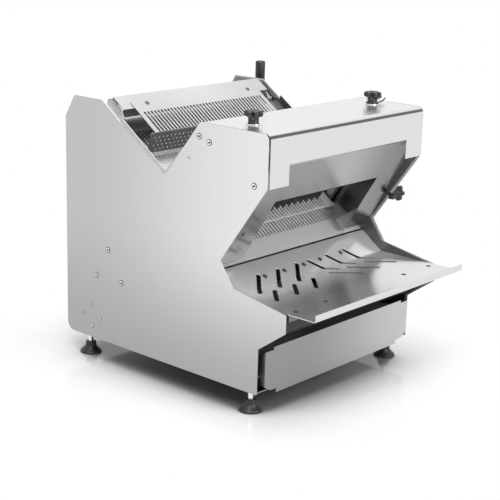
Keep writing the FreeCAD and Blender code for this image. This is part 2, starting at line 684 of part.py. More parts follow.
def blade_frame(start, pin_end):
    """A rectangular frame with guide shoes and the pins of its connecting rods."""
    rear = "(%s) + frame_deep" % start
    middle = "(%s) + frame_deep / 2" % start
    bars = both_sides(lambda side: side_box(side, "frame_inner", FRAME_OUTER, (start, "frame_low"),
                                            (rear, "frame_high")))
    bars.append(box(("-" + FRAME_OUTER, start, "frame_low"), (FRAME_OUTER, rear, "frame_low + cross_bar")))
    bars.append(box(("-" + FRAME_OUTER, start, "frame_high - cross_bar"), (FRAME_OUTER, rear, "frame_high")))
    for low in ("frame_low + 10", "frame_high - 80"):
        bars += both_sides(lambda side: side_box(side, FRAME_OUTER, INNER_X + " - 3", (start, low),
                                                 (rear, low + " + 40")))
    for side in (-1, 1):
        low, high = span(side, FRAME_OUTER, pin_end)
        bars.append(rod("X", "pin_radius", "(%s) - (%s)" % (high, low), (low, middle, "rod_pivot_up")))
    return fuse(*bars)


def connecting_rod(side, start, inner, outer):
    """A flat rod from the pin on the frame to the wide eye round the crank."""
    middle = "((%s) + frame_deep / 2)" % start
    low, high = span(side, inner, outer)
    thick = "(%s) - (%s)" % (high, low)
    eye = "(2 * blade_throw + eccentric_radius + rod_eye_gap)"
    top = rod("X", "2 * pin_radius", thick, (low, middle, "rod_pivot_up"))
    ring = rod("X", eye + " + 8", thick, (low, CRANK_N, CRANK_S))
    run = size(CRANK_N) - size(middle)
    fall = size("rod_pivot_up") - size(CRANK_S)
    arm = doc.addObject("Part::Box", "RodArm")
    arm.Placement = FreeCAD.Placement(FreeCAD.Vector(), FreeCAD.Rotation(FORWARD, 1))
    arm.setExpression("Placement.Rotation.Angle", bound("180 deg + atan((%s - %s) / (rod_pivot_up - %s))" % (
        CRANK_N, middle, CRANK_S)))
    arm.setExpression("Length", bound(thick))
    arm.Width = 16
    arm.Height = math.hypot(run, fall)
    lean = math.atan2(run, fall)
    place(arm, low, "%s + 8 * %.6f" % (middle, math.cos(lean)), "rod_pivot_up + 8 * %.6f" % math.sin(lean))
    pin_hole = rod("X", "pin_radius", thick, (low, middle, "rod_pivot_up"))
    crank_hole = rod("X", eye, thick, (low, CRANK_N, CRANK_S))
    return cut(fuse(top, ring, arm), pin_hole, crank_hole)


ROD_SPANS = [("frame_inner + frame_bar + 3", "frame_inner + frame_bar + 8"),
             ("frame_inner + frame_bar + 9.5", "frame_inner + frame_bar + 14")]
for word, start, spans, first in zip(("front", "rear"), FRAME_STARTS, ROD_SPANS, (0, 1)):
    inner, outer = spans
    node(tilt(blade_frame(start, outer)), "blade_frame_" + word)
    low_n, high_n = "(%s) + (frame_deep - blade_deep) / 2" % start, "(%s) + (frame_deep + blade_deep) / 2" % start
    blades = [box((x + " - blade_wall / 2", low_n, "frame_low + cross_bar"),
                  (x + " + blade_wall / 2", high_n, "frame_high - cross_bar")) for x in BLADES[first::2]]
    node(tilt(group(*blades)), "blades_" + word)
    rods = [connecting_rod(side, start, inner, outer) for side in (-1, 1)]
    node(tilt(group(*rods)), "connecting_rods_" + word)

# Crankshaft, bearings, motor and belt
shaft = rod("X", "shaft_radius", "2 * (%s - 2)" % LINER_X, ("-(%s - 2)" % LINER_X, "crank_y", "crank_z"))
shaft_parts = [shaft, rod("X", "crank_pulley_radius", "pulley_wide", ("pulley_left_x", "crank_y", "crank_z"))]
for spans, lean in zip(ROD_SPANS, ("blade_throw", "-blade_throw")):
    for side in (-1, 1):
        low, high = span(side, *spans)
        shaft_parts.append(rod("X", "eccentric_radius", "(%s) - (%s)" % (high, low),
                               (low, "crank_y + " + lean, "crank_z")))
node(fuse(*shaft_parts), "crankshaft")
for side, word in ((-1, "left"), (1, "right")):
    low, high = span(side, "%s - bearing_deep + skin" % LINER_X, "%s - 0.2" % SKIN_X)
    thick = "(%s) - (%s)" % (high, low)
    housing = rod("X", "bearing_radius - 0.3", thick, (low, "crank_y", "crank_z"))
    bore = rod("X", "shaft_radius + running_gap", thick, (low, "crank_y", "crank_z"))
    node(cut(housing, bore), "crank_bearing_" + word)
MOTOR_LEFT = "(pulley_left_x - 15 - motor_length)"
casing = rod("X", "motor_radius", "motor_length", (MOTOR_LEFT, "motor_y", "motor_z"))
motor_feet = box((MOTOR_LEFT + " + 30", "motor_y - 40", "floor_gap + 4.3"),
                 (MOTOR_LEFT + " + motor_length - 30", "motor_y + 40", "floor_gap + 18"))
terminal = box((MOTOR_LEFT + " + 50", "motor_y - 25", "motor_z"),
               (MOTOR_LEFT + " + 120", "motor_y + 25", "motor_z + motor_radius + 22"))
fins = [rod("X", "motor_radius + 3", 3, (MOTOR_LEFT + " + %d" % (20 + 10 * k), "motor_y", "motor_z"))
        for k in range(15)]
motor_bore = rod("X", 8.5, 40, ("pulley_left_x - 55", "motor_y", "motor_z"))
node(cut(fuse(casing, motor_feet, terminal, *fins), motor_bore), "motor")
motor_wheel = rod("X", "motor_pulley_radius", "pulley_wide", ("pulley_left_x", "motor_y", "motor_z"))
motor_shaft = rod("X", 8, 65, ("pulley_left_x - 45", "motor_y", "motor_z"))
node(fuse(motor_wheel, motor_shaft), "motor_pulley")


def belt_loop(extra):
    """The closed line of the belt, a distance outside both pulleys."""
    big = FreeCAD.Vector(0, size("crank_y"), size("crank_z"))
    small = FreeCAD.Vector(0, size("motor_y"), size("motor_z"))
    big_radius = size("crank_pulley_radius") + extra
    small_radius = size("motor_pulley_radius") + extra
    along = small - big
    spread = math.acos((big_radius - small_radius) / along.Length)
    toward = math.atan2(along.z, along.y)

    def rim(middle, radius, angle):
        return middle + FreeCAD.Vector(0, radius * math.cos(angle), radius * math.sin(angle))

    first, second = toward + spread, toward - spread
    return Part.Wire([
        Part.LineSegment(rim(big, big_radius, first), rim(small, small_radius, first)).toShape(),
        Part.Arc(rim(small, small_radius, first), rim(small, small_radius, toward),
                 rim(small, small_radius, second)).toShape(),
        Part.LineSegment(rim(small, small_radius, second), rim(big, big_radius, second)).toShape(),
        Part.Arc(rim(big, big_radius, second), rim(big, big_radius, toward + math.pi),
                 rim(big, big_radius, first)).toShape()])


belt = doc.addObject("Part::Feature", "Belt")
belt_gap = 0.4
belt_sides = Part.Face(belt_loop(belt_gap + size("belt_wall"))).cut(Part.Face(belt_loop(belt_gap)))
belt_sides.translate(FreeCAD.Vector(size("pulley_left_x + 2"), 0, 0))
belt.Shape = belt_sides.extrude(FreeCAD.Vector(size("pulley_wide - 4"), 0, 0))
node(belt, "drive_belt")

# Pusher, in slope axes
comb = box(("-pusher_half", "pusher_front", "pusher_up"), ("pusher_half", "pusher_rear", "pusher_up + sheet_wall"))
comb_slots = slot_row("rib_slot", ("pusher_front - 5", "pusher_up - 5"), ("pusher_slot_end", "pusher_up + 5"))
node(tilt(cut(comb, *comb_slots)), "pusher_comb")
FACE_OUTLINE = [("pusher_front", "pusher_up"), ("pusher_front - face_lean", "pusher_up - face_drop"),
                ("pusher_front - face_lean + sheet_wall", "pusher_up - face_drop"),
                ("pusher_front + sheet_wall", "pusher_up")]
node(tilt(body_of("YZ_Plane", FACE_OUTLINE, "-face_half", "2 * face_half")), "pusher_face")
channel = box(("-pusher_plate_x", "pusher_rear - 20", "pusher_up - 30"),
              ("pusher_plate_x", "pusher_rear + 28", "pusher_up"))
channel_hollow = box(("-pusher_plate_x", "pusher_rear - 18", "pusher_up - 32"),
                     ("pusher_plate_x", "pusher_rear + 26", "pusher_up - 2"))
node(tilt(cut(channel, channel_hollow)), "pusher_channel")
low_n, high_n = "pusher_rear - 36", "pusher_rear + 36"
CHEEK_OUTLINE = [(low_n, "pusher_up - 30"), (high_n, "pusher_up - 30"), (high_n, "pusher_up - 12"),
                 ("pusher_rear + 25", "pusher_up - 4.5"), ("pusher_rear - 10", "pusher_up - 3.5"),
                 (low_n, "pusher_up - 16")]
for side, word in ((-1, "left"), (1, "right")):
    rail_top = "pusher_rail_up + pusher_rail_high + slide_gap"
    cheek = body_of("YZ_Plane", CHEEK_OUTLINE, span(side, "pusher_plate_x", "pusher_plate_x + 3")[0], "3")
    web = side_box(side, "pusher_plate_x + 3", "rail_inner - 2 - slide_gap", (low_n, "pusher_rail_up - 7"),
                   (high_n, "pusher_rail_up + 16"))
    lid = side_box(side, "pusher_plate_x + 3", INNER_X + " - 3", (low_n, rail_top), (high_n, "pusher_rail_up + 16"))
    lip = side_box(side, "pusher_plate_x + 3", INNER_X + " - 3", (low_n, "pusher_rail_up - 7"),
                   (high_n, "pusher_rail_up - slide_gap"))
    node(tilt(fuse(cheek, web, lid, lip)), "pusher_shoe_" + word)


def handle_arm():
    """Stands under the right shoe, runs out through the long slot and carries the grip outside the plate."""
    root = box(("pusher_plate_x + 3", "pusher_rear + 13", "arm_up"),
               ("rail_inner + 8", "pusher_rear + 13 + arm_long", "pusher_rail_up - 7.1"))
    reach = box(("pusher_plate_x + 3", "pusher_rear + 13", "arm_up"),
                ("grip_x + 6", "pusher_rear + 13 + arm_long", "arm_up + arm_high"))
    return tilt(fuse(root, reach))


node(handle_arm(), "handle_arm")
grip = rod("Z", "grip_radius", "grip_top - grip_low", ("grip_x", "grip_y", "grip_low"))
node(cut(grip, handle_arm()), "handle_grip")


# Star knobs
def star_knob(axis, x, y, z, stud, neck_high="knob_neck"):
    """A six-lobed knob, drawn upright from the face it is screwed against."""
    rim = rod("Z", "knob_radius", "knob_high", ("0", "0", neck_high))
    crown = rod("Z", "0.55 * knob_radius", "knob_high + 2.5", ("0", "0", neck_high))
    neck = rod("Z", "0.52 * knob_radius", "%s - 3" % neck_high, ("0", "0", "3"))
    bolt = rod("Z", "stud_radius", "%s + 4" % stud, ("0", "0", "-%s" % stud))
    hollows = [rod("Z", "0.33 * knob_radius", "knob_high + 2",
                   ("1.18 * knob_radius * cos(%d)" % turn, "1.18 * knob_radius * sin(%d)" % turn, neck_high + " - 1"))
               for turn in range(0, 360, 60)]
    item = fuse(cut(rim, *hollows), crown, neck, bolt)
    item.Placement = FreeCAD.Placement(FreeCAD.Vector(), EDGEWISE[axis])
    return place(item, x, y, z)


KNOB_X = {"left": "-knob_x", "right": "knob_x"}
for word, x in KNOB_X.items():
    node(star_knob("Z", x, "knob_y", "hood_z", "30"), "top_knob_" + word)
washers = [cut(rod("Z", "knob_washer_radius", 2.2, (x, "knob_y", "hood_z + 0.3")),
               rod("Z", "stud_radius + running_gap", 4, (x, "knob_y", "hood_z - 1"))) for x in KNOB_X.values()]
node(group(*washers), "knob_washers")
node(star_knob("X", HALF, "side_knob_y", "side_knob_z", "8", "(side_knob_reach - knob_high - 2.5)"), "side_knob")

# Drawer
FACE_RISES = [("drawer_face_half", "drawer_face_top - 7"),
              ("drawer_face_half - drawer_notch + 1", "drawer_face_top - 7"),
              ("drawer_face_half - drawer_notch + 1", "drawer_face_top")]
FACE_FALLS = [("drawer_face_half - 45", "drawer_face_low"), ("drawer_face_half - 45", "drawer_face_low + 11"),
              ("drawer_face_half - 21", "drawer_face_low + 11"), ("drawer_face_half", "drawer_face_low + 24")]
mirror_side = [("-(%s)" % x, z) for x, z in reversed(FACE_FALLS + FACE_RISES)]
drawer_plate = body_of("XZ_Plane", FACE_FALLS + FACE_RISES + mirror_side, "0 - drawer_face_y - sheet_wall",
                       "sheet_wall")
edge_flanges = both_sides(lambda side: side_box(
    side, "drawer_face_half - sheet_wall", "drawer_face_half", ("drawer_face_y + sheet_wall", "drawer_face_low + 26"),
    ("drawer_face_y + 16", "drawer_face_top - 8")))
node(fuse(drawer_plate, *edge_flanges), "drawer_face")
TRAY_FRONT = "drawer_face_y + sheet_wall + 0.2"
tray_out = box(("-drawer_half", TRAY_FRONT, "drawer_floor_z"),
               ("drawer_half", "drawer_face_y + drawer_depth", "drawer_floor_z + drawer_height"))
tray_in = box(("1.5 - drawer_half", TRAY_FRONT + " + 1.5", "drawer_floor_z + 1.5"),
              ("drawer_half - 1.5", "drawer_face_y + drawer_depth - 1.5", "drawer_floor_z + drawer_height + 1"))
lips = both_sides(lambda side: side_box(side, "drawer_half", "drawer_half + 10", (TRAY_FRONT, "drawer_floor_z + 33.4"),
                                        ("drawer_face_y + drawer_depth", "drawer_floor_z + 35.4")))
node(fuse(cut(tray_out, tray_in), *lips), "drawer_tray")
node(group(*both_sides(lambda side: fuse(
    side_box(side, "drawer_half + 3", INNER_X, ("base_front_y + 6", "drawer_floor_z + 30"),
             ("drawer_face_y + drawer_depth + 8", "drawer_floor_z + 33")),
    side_box(side, INNER_X + " - 2", INNER_X, ("base_front_y + 6", "drawer_floor_z + 10"),
             ("drawer_face_y + drawer_depth + 8", "drawer_floor_z + 33"))))), "drawer_runners")

# Feet
node(group(*[fuse(rod("Z", "stud_radius", "floor_gap + 8 - 0.4 * foot_height", (x, y, "0.4 * foot_height")),
                  rod("Z", "1.8 * stud_radius", 7, (x, y, "floor_gap - 5.2"))) for x, y in FEET]), "foot_studs")
FOOT_WORDS = ["right_front", "right_rear", "left_front", "left_rear"]
for word, (x, y) in zip(FOOT_WORDS, FEET):
    sole = rod("Z", "foot_radius", "0.15 * foot_height", (x, y, "0"))
    flare = cone("foot_radius", "0.5 * foot_radius", "0.55 * foot_height", (x, y, "0.15 * foot_height"))
    collar = rod("Z", "0.5 * foot_radius", "foot_height", (x, y, "0"))
    socket = rod("Z", "stud_radius + running_gap", "foot_height", (x, y, "0.4 * foot_height - 0.3"))
    node(cut(fuse(sole, flare, collar), socket), "foot_pad_" + word)

# Switch box, buttons and cable gland on the right side plate
BOX_X = "(%s + 0.2)" % HALF
BOX_FACE = "(%s + box_deep)" % HALF
box_shell = box((BOX_X, "box_y - box_wide / 2", "box_z - box_high / 2"),
                (BOX_FACE, "box_y + box_wide / 2", "box_z + box_high / 2"))
BUTTONS = {"start_button": "box_z + box_high / 5", "stop_button": "box_z - box_high / 5"}
sockets = [rod("X", "button_radius + 0.4", 12, (BOX_FACE + " - 12", "box_y", z)) for z in BUTTONS.values()]
node(cut(box_shell, *sockets), "switch_box")
for word, z in BUTTONS.items():
    node(rod("X", "button_radius", "button_rise + button_travel + 2", (BOX_FACE + " - button_travel - 2", "box_y", z)),
         word)
gland_y, gland_z = "rear_y - 45", "floor_gap + 130"
gland = fuse(rod("X", 13, 6, (BOX_X, gland_y, gland_z)), rod("X", 9, 20, (BOX_X, gland_y, gland_z)))
node(cut(gland, rod("X", 4.5, 30, (HALF, gland_y, gland_z))), "cable_gland")


# Screws
def screw_head(axis, x, y, z, scale=1.0):
    """A ringed screw with a cross recess, drawn upright from the face it holds."""
    ring = rod("Z", "screw_ring * %s" % scale, "screw_head / 2", ("0", "0", "0"))
    head = rod("Z", "0.62 * screw_ring * %s" % scale, "screw_head", ("0", "0", "0"))
    arm = "0.45 * screw_ring * %s" % scale
    recess = fuse(box(("-" + arm, "-0.5", "screw_head / 3"), (arm, "0.5", "screw_head + 1")),
                  box(("-0.5", "-" + arm, "screw_head / 3"), ("0.5", arm, "screw_head + 1")))
    item = cut(fuse(ring, head), recess)
    item.Placement = FreeCAD.Placement(FreeCAD.Vector(), axis)
    return place(item, x, y, z)


LEFTWARD = FreeCAD.Rotation(FreeCAD.Vector(0, 1, 0), -90)
UPWARD = FreeCAD.Rotation()
LARGE_SCREWS = [(-97.4, 659), (-130.7, 649), (-274, 568), (222, 314), (267, 237), (172, 235)]
SMALL_SCREWS = [(286, 152), (317, 122), (253, 117), (285, 91)]


def side_screws(direction, x):
    large = [screw_head(direction, x, y, z) for y, z in LARGE_SCREWS]
    return large + [screw_head(direction, x, y, z, 0.7) for y, z in SMALL_SCREWS]


node(group(*side_screws(LEFTWARD, "-" + HALF)), "side_screws_left")
node(group(*side_screws(EDGEWISE["X"], HALF)), "side_screws_right")
tray_screws = [screw_head(UPWARD, x, "toe_y", "tray_z + 0.1", 0.8) for x in TRAY_SCREW_X]
node(group(*tray_screws), "tray_screws")
doc.recompute()

# Checks, then one file for each node
wrong = [item.Name for item in doc.Objects if "Invalid" in item.State or "Error" in item.State]
if wrong:
    raise RuntimeError("not computed: " + ", ".join(wrong))
bad = [item.Label for item in nodes if item.Shape.isNull() or not item.Shape.isValid() or item.Shape.Volume <= 0]
if bad:
    raise RuntimeError("bad shape: " + ", ".join(bad))
for item in nodes:
    item.Shape.exportStep("parts/%s.step" % item.Label)
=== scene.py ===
import json
import math

import bmesh
import bpy
from mathutils import Matrix, Vector
from mathutils.bvhtree import BVHTree


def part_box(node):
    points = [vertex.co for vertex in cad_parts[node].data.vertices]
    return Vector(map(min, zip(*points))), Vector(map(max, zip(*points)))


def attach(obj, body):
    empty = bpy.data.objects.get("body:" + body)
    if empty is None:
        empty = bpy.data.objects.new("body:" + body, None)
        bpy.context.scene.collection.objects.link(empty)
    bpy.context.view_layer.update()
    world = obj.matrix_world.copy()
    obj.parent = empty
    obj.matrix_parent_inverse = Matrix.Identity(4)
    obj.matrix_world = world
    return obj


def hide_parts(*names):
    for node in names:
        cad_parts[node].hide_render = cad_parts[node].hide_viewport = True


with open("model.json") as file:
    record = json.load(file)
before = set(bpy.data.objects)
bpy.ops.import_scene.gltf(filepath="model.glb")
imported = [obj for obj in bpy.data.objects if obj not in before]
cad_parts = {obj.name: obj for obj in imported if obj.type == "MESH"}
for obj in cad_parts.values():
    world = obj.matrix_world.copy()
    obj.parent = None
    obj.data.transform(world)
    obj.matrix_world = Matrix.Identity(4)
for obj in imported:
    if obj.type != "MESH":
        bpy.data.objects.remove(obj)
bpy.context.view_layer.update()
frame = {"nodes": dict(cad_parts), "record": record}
NODES = frame["nodes"]


# Shader helpers
def add_node(tree, kind, **settings):
    """A shader node with its attributes and input values set by name."""
    made = tree.nodes.new(kind)
    for key, value in settings.items():
        if hasattr(made, key):
            setattr(made, key, value)
        else:
            made.inputs[key.replace("_", " ")].default_value = value
    return made


def join(tree, source, target):
    tree.links.new(source, target)


def new_group(name, inputs, outputs):
    """An empty shader group with named number or vector sockets."""
    group = bpy.data.node_groups.new(name, "ShaderNodeTree")
    for label, kind, value in inputs:
        socket = group.interface.new_socket(label, in_out="INPUT", socket_type=kind)
        socket.default_value = value
    for label, kind in outputs:
        group.interface.new_socket(label, in_out="OUTPUT", socket_type=kind)
    return group, group.nodes.new("NodeGroupInput"), group.nodes.new("NodeGroupOutput")


FLOAT, VECTOR = "NodeSocketFloat", "NodeSocketVector"
MIX_FACTOR, MIX_FIRST, MIX_SECOND, MIX_RESULT = 0, 6, 7, 2  # sockets of a colour Mix node, whose names repeat
NOISE_LOW, NOISE_HIGH = 0.3, 0.7  # most values of a noise lie between these


def make_brushed_group():
    """Fine streaks along one direction, with soft cloudy handling marks."""
    group, given, put = new_group(
        "brushed_sheet",
        [("Stretch", VECTOR, (900.0, 900.0, 8.0)), ("Cloud Scale", FLOAT, 3.0), ("Streak Depth", FLOAT, 0.5)],
        [("Streaks", FLOAT), ("Clouds", FLOAT), ("Height", FLOAT)])
    place = add_node(group, "ShaderNodeTexCoord")
    stretched = add_node(group, "ShaderNodeVectorMath", operation="MULTIPLY")
    join(group, place.outputs["Object"], stretched.inputs[0])
    join(group, given.outputs["Stretch"], stretched.inputs[1])
    fine = add_node(group, "ShaderNodeTexNoise", Scale=1.0, Detail=5.0, Roughness=0.65)
    join(group, stretched.outputs[0], fine.inputs["Vector"])
    clouds = add_node(group, "ShaderNodeTexNoise", Detail=3.0, Roughness=0.5)
    join(group, place.outputs["Object"], clouds.inputs["Vector"])
    join(group, given.outputs["Cloud Scale"], clouds.inputs["Scale"])
    spread = add_node(group, "ShaderNodeMapRange")
    spread.inputs["From Min"].default_value = NOISE_LOW
    spread.inputs["From Max"].default_value = NOISE_HIGH
    join(group, fine.outputs["Fac"], spread.inputs["Value"])
    height = add_node(group, "ShaderNodeMath", operation="MULTIPLY")
    join(group, spread.outputs[0], height.inputs[0])
    join(group, given.outputs["Streak Depth"], height.inputs[1])
    join(group, spread.outputs[0], put.inputs["Streaks"])
    join(group, clouds.outputs["Fac"], put.inputs["Clouds"])
    join(group, height.outputs[0], put.inputs["Height"])
    return group


def make_moulded_group():
    """Fine spark texture of moulded plastic with matte rubbed patches."""
    group, given, put = new_group(
        "moulded_skin", [("Grain Scale", FLOAT, 900.0), ("Patch Scale", FLOAT, 30.0)],
        [("Grain", FLOAT), ("Patches", FLOAT)])
    place = add_node(group, "ShaderNodeTexCoord")
    grain = add_node(group, "ShaderNodeTexNoise", Detail=2.0)
    patches = add_node(group, "ShaderNodeTexNoise", Detail=3.0)
    for noise, scale in ((grain, "Grain Scale"), (patches, "Patch Scale")):
        join(group, place.outputs["Object"], noise.inputs["Vector"])
        join(group, given.outputs[scale], noise.inputs["Scale"])
    join(group, grain.outputs["Fac"], put.inputs["Grain"])
    join(group, patches.outputs["Fac"], put.inputs["Patches"])
    return group


def make_fade_group():
    """A smooth rise from 0 to 1 between two distances along a direction."""
    group, given, put = new_group(
        "soft_fade", [("Direction", VECTOR, (0.0, 0.0, 1.0)), ("Start", FLOAT, 0.0), ("End", FLOAT, 1.0)],
        [("Fade", FLOAT)])
    place = add_node(group, "ShaderNodeTexCoord")
    along = add_node(group, "ShaderNodeVectorMath", operation="DOT_PRODUCT")
    rise = add_node(group, "ShaderNodeMapRange", interpolation_type="SMOOTHSTEP")
    join(group, place.outputs["Object"], along.inputs[0])
    join(group, given.outputs["Direction"], along.inputs[1])
    join(group, along.outputs["Value"], rise.inputs["Value"])
    join(group, given.outputs["Start"], rise.inputs["From Min"])
    join(group, given.outputs["End"], rise.inputs["From Max"])
    join(group, rise.outputs[0], put.inputs["Fade"])
    return group


BRUSHED = make_brushed_group()
MOULDED = make_moulded_group()
SOFT_FADE = make_fade_group()


def ranged(tree, source, low, high):
    """Maps a 0 to 1 value to a range."""
    made = add_node(tree, "ShaderNodeMapRange")
    made.inputs["To Min"].default_value = low
    made.inputs["To Max"].default_value = high
    join(tree, source, made.inputs["Value"])
    return made.outputs[0]


def blended(tree, factor, first, second):
    """A mix of two colours by a 0 to 1 value."""
    made = add_node(tree, "ShaderNodeMix", data_type="RGBA")
    made.inputs[MIX_FIRST].default_value = (*first, 1.0)
    made.inputs[MIX_SECOND].default_value = (*second, 1.0)
    join(tree, factor, made.inputs[MIX_FACTOR])
    return made.outputs[MIX_RESULT]


def new_material(name):
    material = bpy.data.materials.new(name)
    material.use_nodes = True
    tree = material.node_tree
    return material, tree, tree.nodes["Principled BSDF"]


def faded(tree, fades, weights):
    """One mask from soft fades: the first, scaled by what the second adds."""
    masks = []
    for direction, start, end in fades:
        made = add_node(tree, "ShaderNodeGroup", node_tree=SOFT_FADE)
        made.inputs["Direction"].default_value = direction
        made.inputs["Start"].default_value = start
        made.inputs["End"].default_value = end
        masks.append(made.outputs["Fade"])
    if len(masks) == 1:
        return masks[0]
    share = add_node(tree, "ShaderNodeMath", operation="MULTIPLY_ADD")
    join(tree, masks[1], share.inputs[0])
    share.inputs[1].default_value = weights[1]
    share.inputs[2].default_value = weights[0]
    both = add_node(tree, "ShaderNodeMath", operation="MULTIPLY")
    join(tree, masks[0], both.inputs[0])
    join(tree, share.outputs[0], both.inputs[1])
    return both.outputs[0]


CLOUD_SCALE = 3.0
STREAK_SHARE, CLOUD_SHARE = 0.4, 0.6
GRAIN_STRENGTH, SKIN_STRENGTH, SKIN_DEPTH = 0.12, 0.15, 0.0002
RUBBED_GAIN, RUBBED_LIFT = 1.35, 0.004


def streaked(tree, streaks, tone, contrast):
    """A tone that the streaks darken and lighten by the contrast."""
    dark = tuple(channel * (1 - contrast) for channel in tone)
    light = tuple(min(1.0, channel * (1 + contrast)) for channel in tone)
    return blended(tree, streaks, dark, light)


def sheet_steel(name, tone, grain, rough=(0.28, 0.42), contrast=0.06, depth=0.5, metal=(1.0, 1.0),
                painted_fade_start=None, fades=(), weights=(1.0, 0.0)):
    """Stainless sheet: tone, grain as the stretch of the streaks, roughness range.

    Where a start tone for the fade is given, the fades paint light and shade as a change from it to the tone along
    fixed directions of the object.
    """
    material, tree, shader = new_material(name)
    brushed = add_node(tree, "ShaderNodeGroup", node_tree=BRUSHED)
    brushed.inputs["Stretch"].default_value = grain
    brushed.inputs["Cloud Scale"].default_value = CLOUD_SCALE
    brushed.inputs["Streak Depth"].default_value = depth
    streaks = brushed.outputs["Streaks"]
    shader.inputs["Metallic"].default_value = metal[1]
    colour = streaked(tree, streaks, tone, contrast)
    if painted_fade_start:
        ends = add_node(tree, "ShaderNodeMix", data_type="RGBA")
        mask = faded(tree, fades, weights)
        join(tree, mask, ends.inputs[MIX_FACTOR])
        if metal[0] != metal[1]:
            join(tree, ranged(tree, mask, *metal), shader.inputs["Metallic"])
        join(tree, streaked(tree, streaks, painted_fade_start, contrast), ends.inputs[MIX_FIRST])
        join(tree, colour, ends.inputs[MIX_SECOND])
        colour = ends.outputs[MIX_RESULT]
    join(tree, colour, shader.inputs["Base Color"])
    mixed = add_node(tree, "ShaderNodeMath", operation="MULTIPLY_ADD")
    join(tree, streaks, mixed.inputs[0])
    mixed.inputs[1].default_value = STREAK_SHARE
    cloudy = add_node(tree, "ShaderNodeMath", operation="MULTIPLY")
    cloudy.inputs[1].default_value = CLOUD_SHARE
    join(tree, brushed.outputs["Clouds"], cloudy.inputs[0])
    join(tree, cloudy.outputs[0], mixed.inputs[2])
    join(tree, ranged(tree, mixed.outputs[0], *rough), shader.inputs["Roughness"])
    bump = add_node(tree, "ShaderNodeBump", Strength=GRAIN_STRENGTH, Distance=SKIN_DEPTH)
    join(tree, brushed.outputs["Height"], bump.inputs["Height"])
    join(tree, bump.outputs[0], shader.inputs["Normal"])
    return material


def moulded(name, tone, rough, grain=900.0):
    """Plastic, rubber or paint with a fine skin."""
    material, tree, shader = new_material(name)
    skin = add_node(tree, "ShaderNodeGroup", node_tree=MOULDED)
    skin.inputs["Grain Scale"].default_value = grain
    lighter = tuple(min(1.0, channel * RUBBED_GAIN + RUBBED_LIFT) for channel in tone)
    join(tree, blended(tree, skin.outputs["Patches"], tone, lighter), shader.inputs["Base Color"])
    join(tree, ranged(tree, skin.outputs["Patches"], *rough), shader.inputs["Roughness"])
    bump = add_node(tree, "ShaderNodeBump", Strength=SKIN_STRENGTH, Distance=SKIN_DEPTH)
    join(tree, skin.outputs["Grain"], bump.inputs["Height"])
    join(tree, bump.outputs[0], shader.inputs["Normal"])
    return material


UPRIGHT, ALONG_X, ALONG_Y = (500.0, 500.0, 7.0), (7.0, 500.0, 500.0), (500.0, 7.0, 500.0)
EVEN = (60.0, 60.0, 60.0)
TO_TOP, TO_FRONT, TO_RIGHT, RIGHT_AND_UP = (0, 0, 1), (0, -1, 0), (1, 0, 0), (1, 0, 0.25)

# Tones are set to match the photo. Where a sheet has a dull tone, the change between the two is painted: it stands
# for how the photo's light falls off over the sheet, and isn't a property of the steel.
SIDE_STEEL = sheet_steel("side_plate_steel", (0.83, 0.83, 0.835), UPRIGHT, rough=(0.34, 0.48), contrast=0.02,
                         painted_fade_start=(0.42, 0.42, 0.425), fades=[(TO_TOP, 0.04, 0.44), (TO_FRONT, -0.35, 0.30)],
                         weights=(0.34, 0.66))

# The dark line on the hood's front bend is painted too: it stands for what the polished bend mirrors in the photo.
# It covers the outermost skin of the bend along BEND_OUT, between two depths under it.
BEND_RADIUS, BEND_TURN = 0.016, math.radians(60)
LINE_DEEP, LINE_SHALLOW = 0.0008, 0.0002
hood_low, hood_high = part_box("hood_cover")
BEND_OUT = (0, -math.sin(BEND_TURN), math.cos(BEND_TURN))
BEND_REACH = (BEND_RADIUS + (hood_low[1] + BEND_RADIUS) * BEND_OUT[1]
              + (hood_high[2] - BEND_RADIUS) * BEND_OUT[2])
HOOD_STEEL = sheet_steel("hood_steel", (0.13, 0.13, 0.135), ALONG_X, rough=(0.2, 0.3), contrast=0.02,
                         painted_fade_start=(0.75, 0.75, 0.755),
                         fades=[(BEND_OUT, BEND_REACH - LINE_DEEP, BEND_REACH - LINE_SHALLOW)])

# Painted shade: the mouth frame is much darker than steel, darkest towards the right and the top.
MOUTH_STEEL = sheet_steel("mouth_steel", (0.20, 0.20, 0.205), ALONG_X, rough=(0.14, 0.24), contrast=0.02,
                          painted_fade_start=(0.42, 0.42, 0.425), fades=[(RIGHT_AND_UP, 0.12, 0.36)])
# Painted light and shade: the tray is paler and less metallic towards the back, darker and more metallic towards
# the front.
TRAY_STEEL = sheet_steel("tray_steel", (0.72, 0.72, 0.725), ALONG_X, rough=(0.12, 0.24), contrast=0.015,
                         metal=(0.5, 0.88), painted_fade_start=(0.78, 0.78, 0.785), fades=[(TO_FRONT, 0.17, 0.30)])
TABLE_STEEL = sheet_steel("table_steel", (0.55, 0.55, 0.56), ALONG_X, rough=(0.2, 0.3), contrast=0.015)
# Painted light: the inner sheets are paler and far less metallic than steel, so that they show bright.
INNER_STEEL = sheet_steel("inner_steel", (0.93, 0.93, 0.935), ALONG_Y, rough=(0.3, 0.4), contrast=0.02,
                          metal=(0.4, 0.4))
# Painted shade: the drawer face is darker towards the left.
DRAWER_STEEL = sheet_steel("drawer_steel", (0.58, 0.58, 0.585), ALONG_X, rough=(0.3, 0.4), contrast=0.02,
                           painted_fade_start=(0.32, 0.32, 0.325), fades=[(TO_RIGHT, -0.2, 0.3)])
PLAIN_STEEL = sheet_steel("plain_sheet", (0.50, 0.50, 0.51), UPRIGHT, rough=(0.3, 0.42), contrast=0.03,
                          depth=0.25)
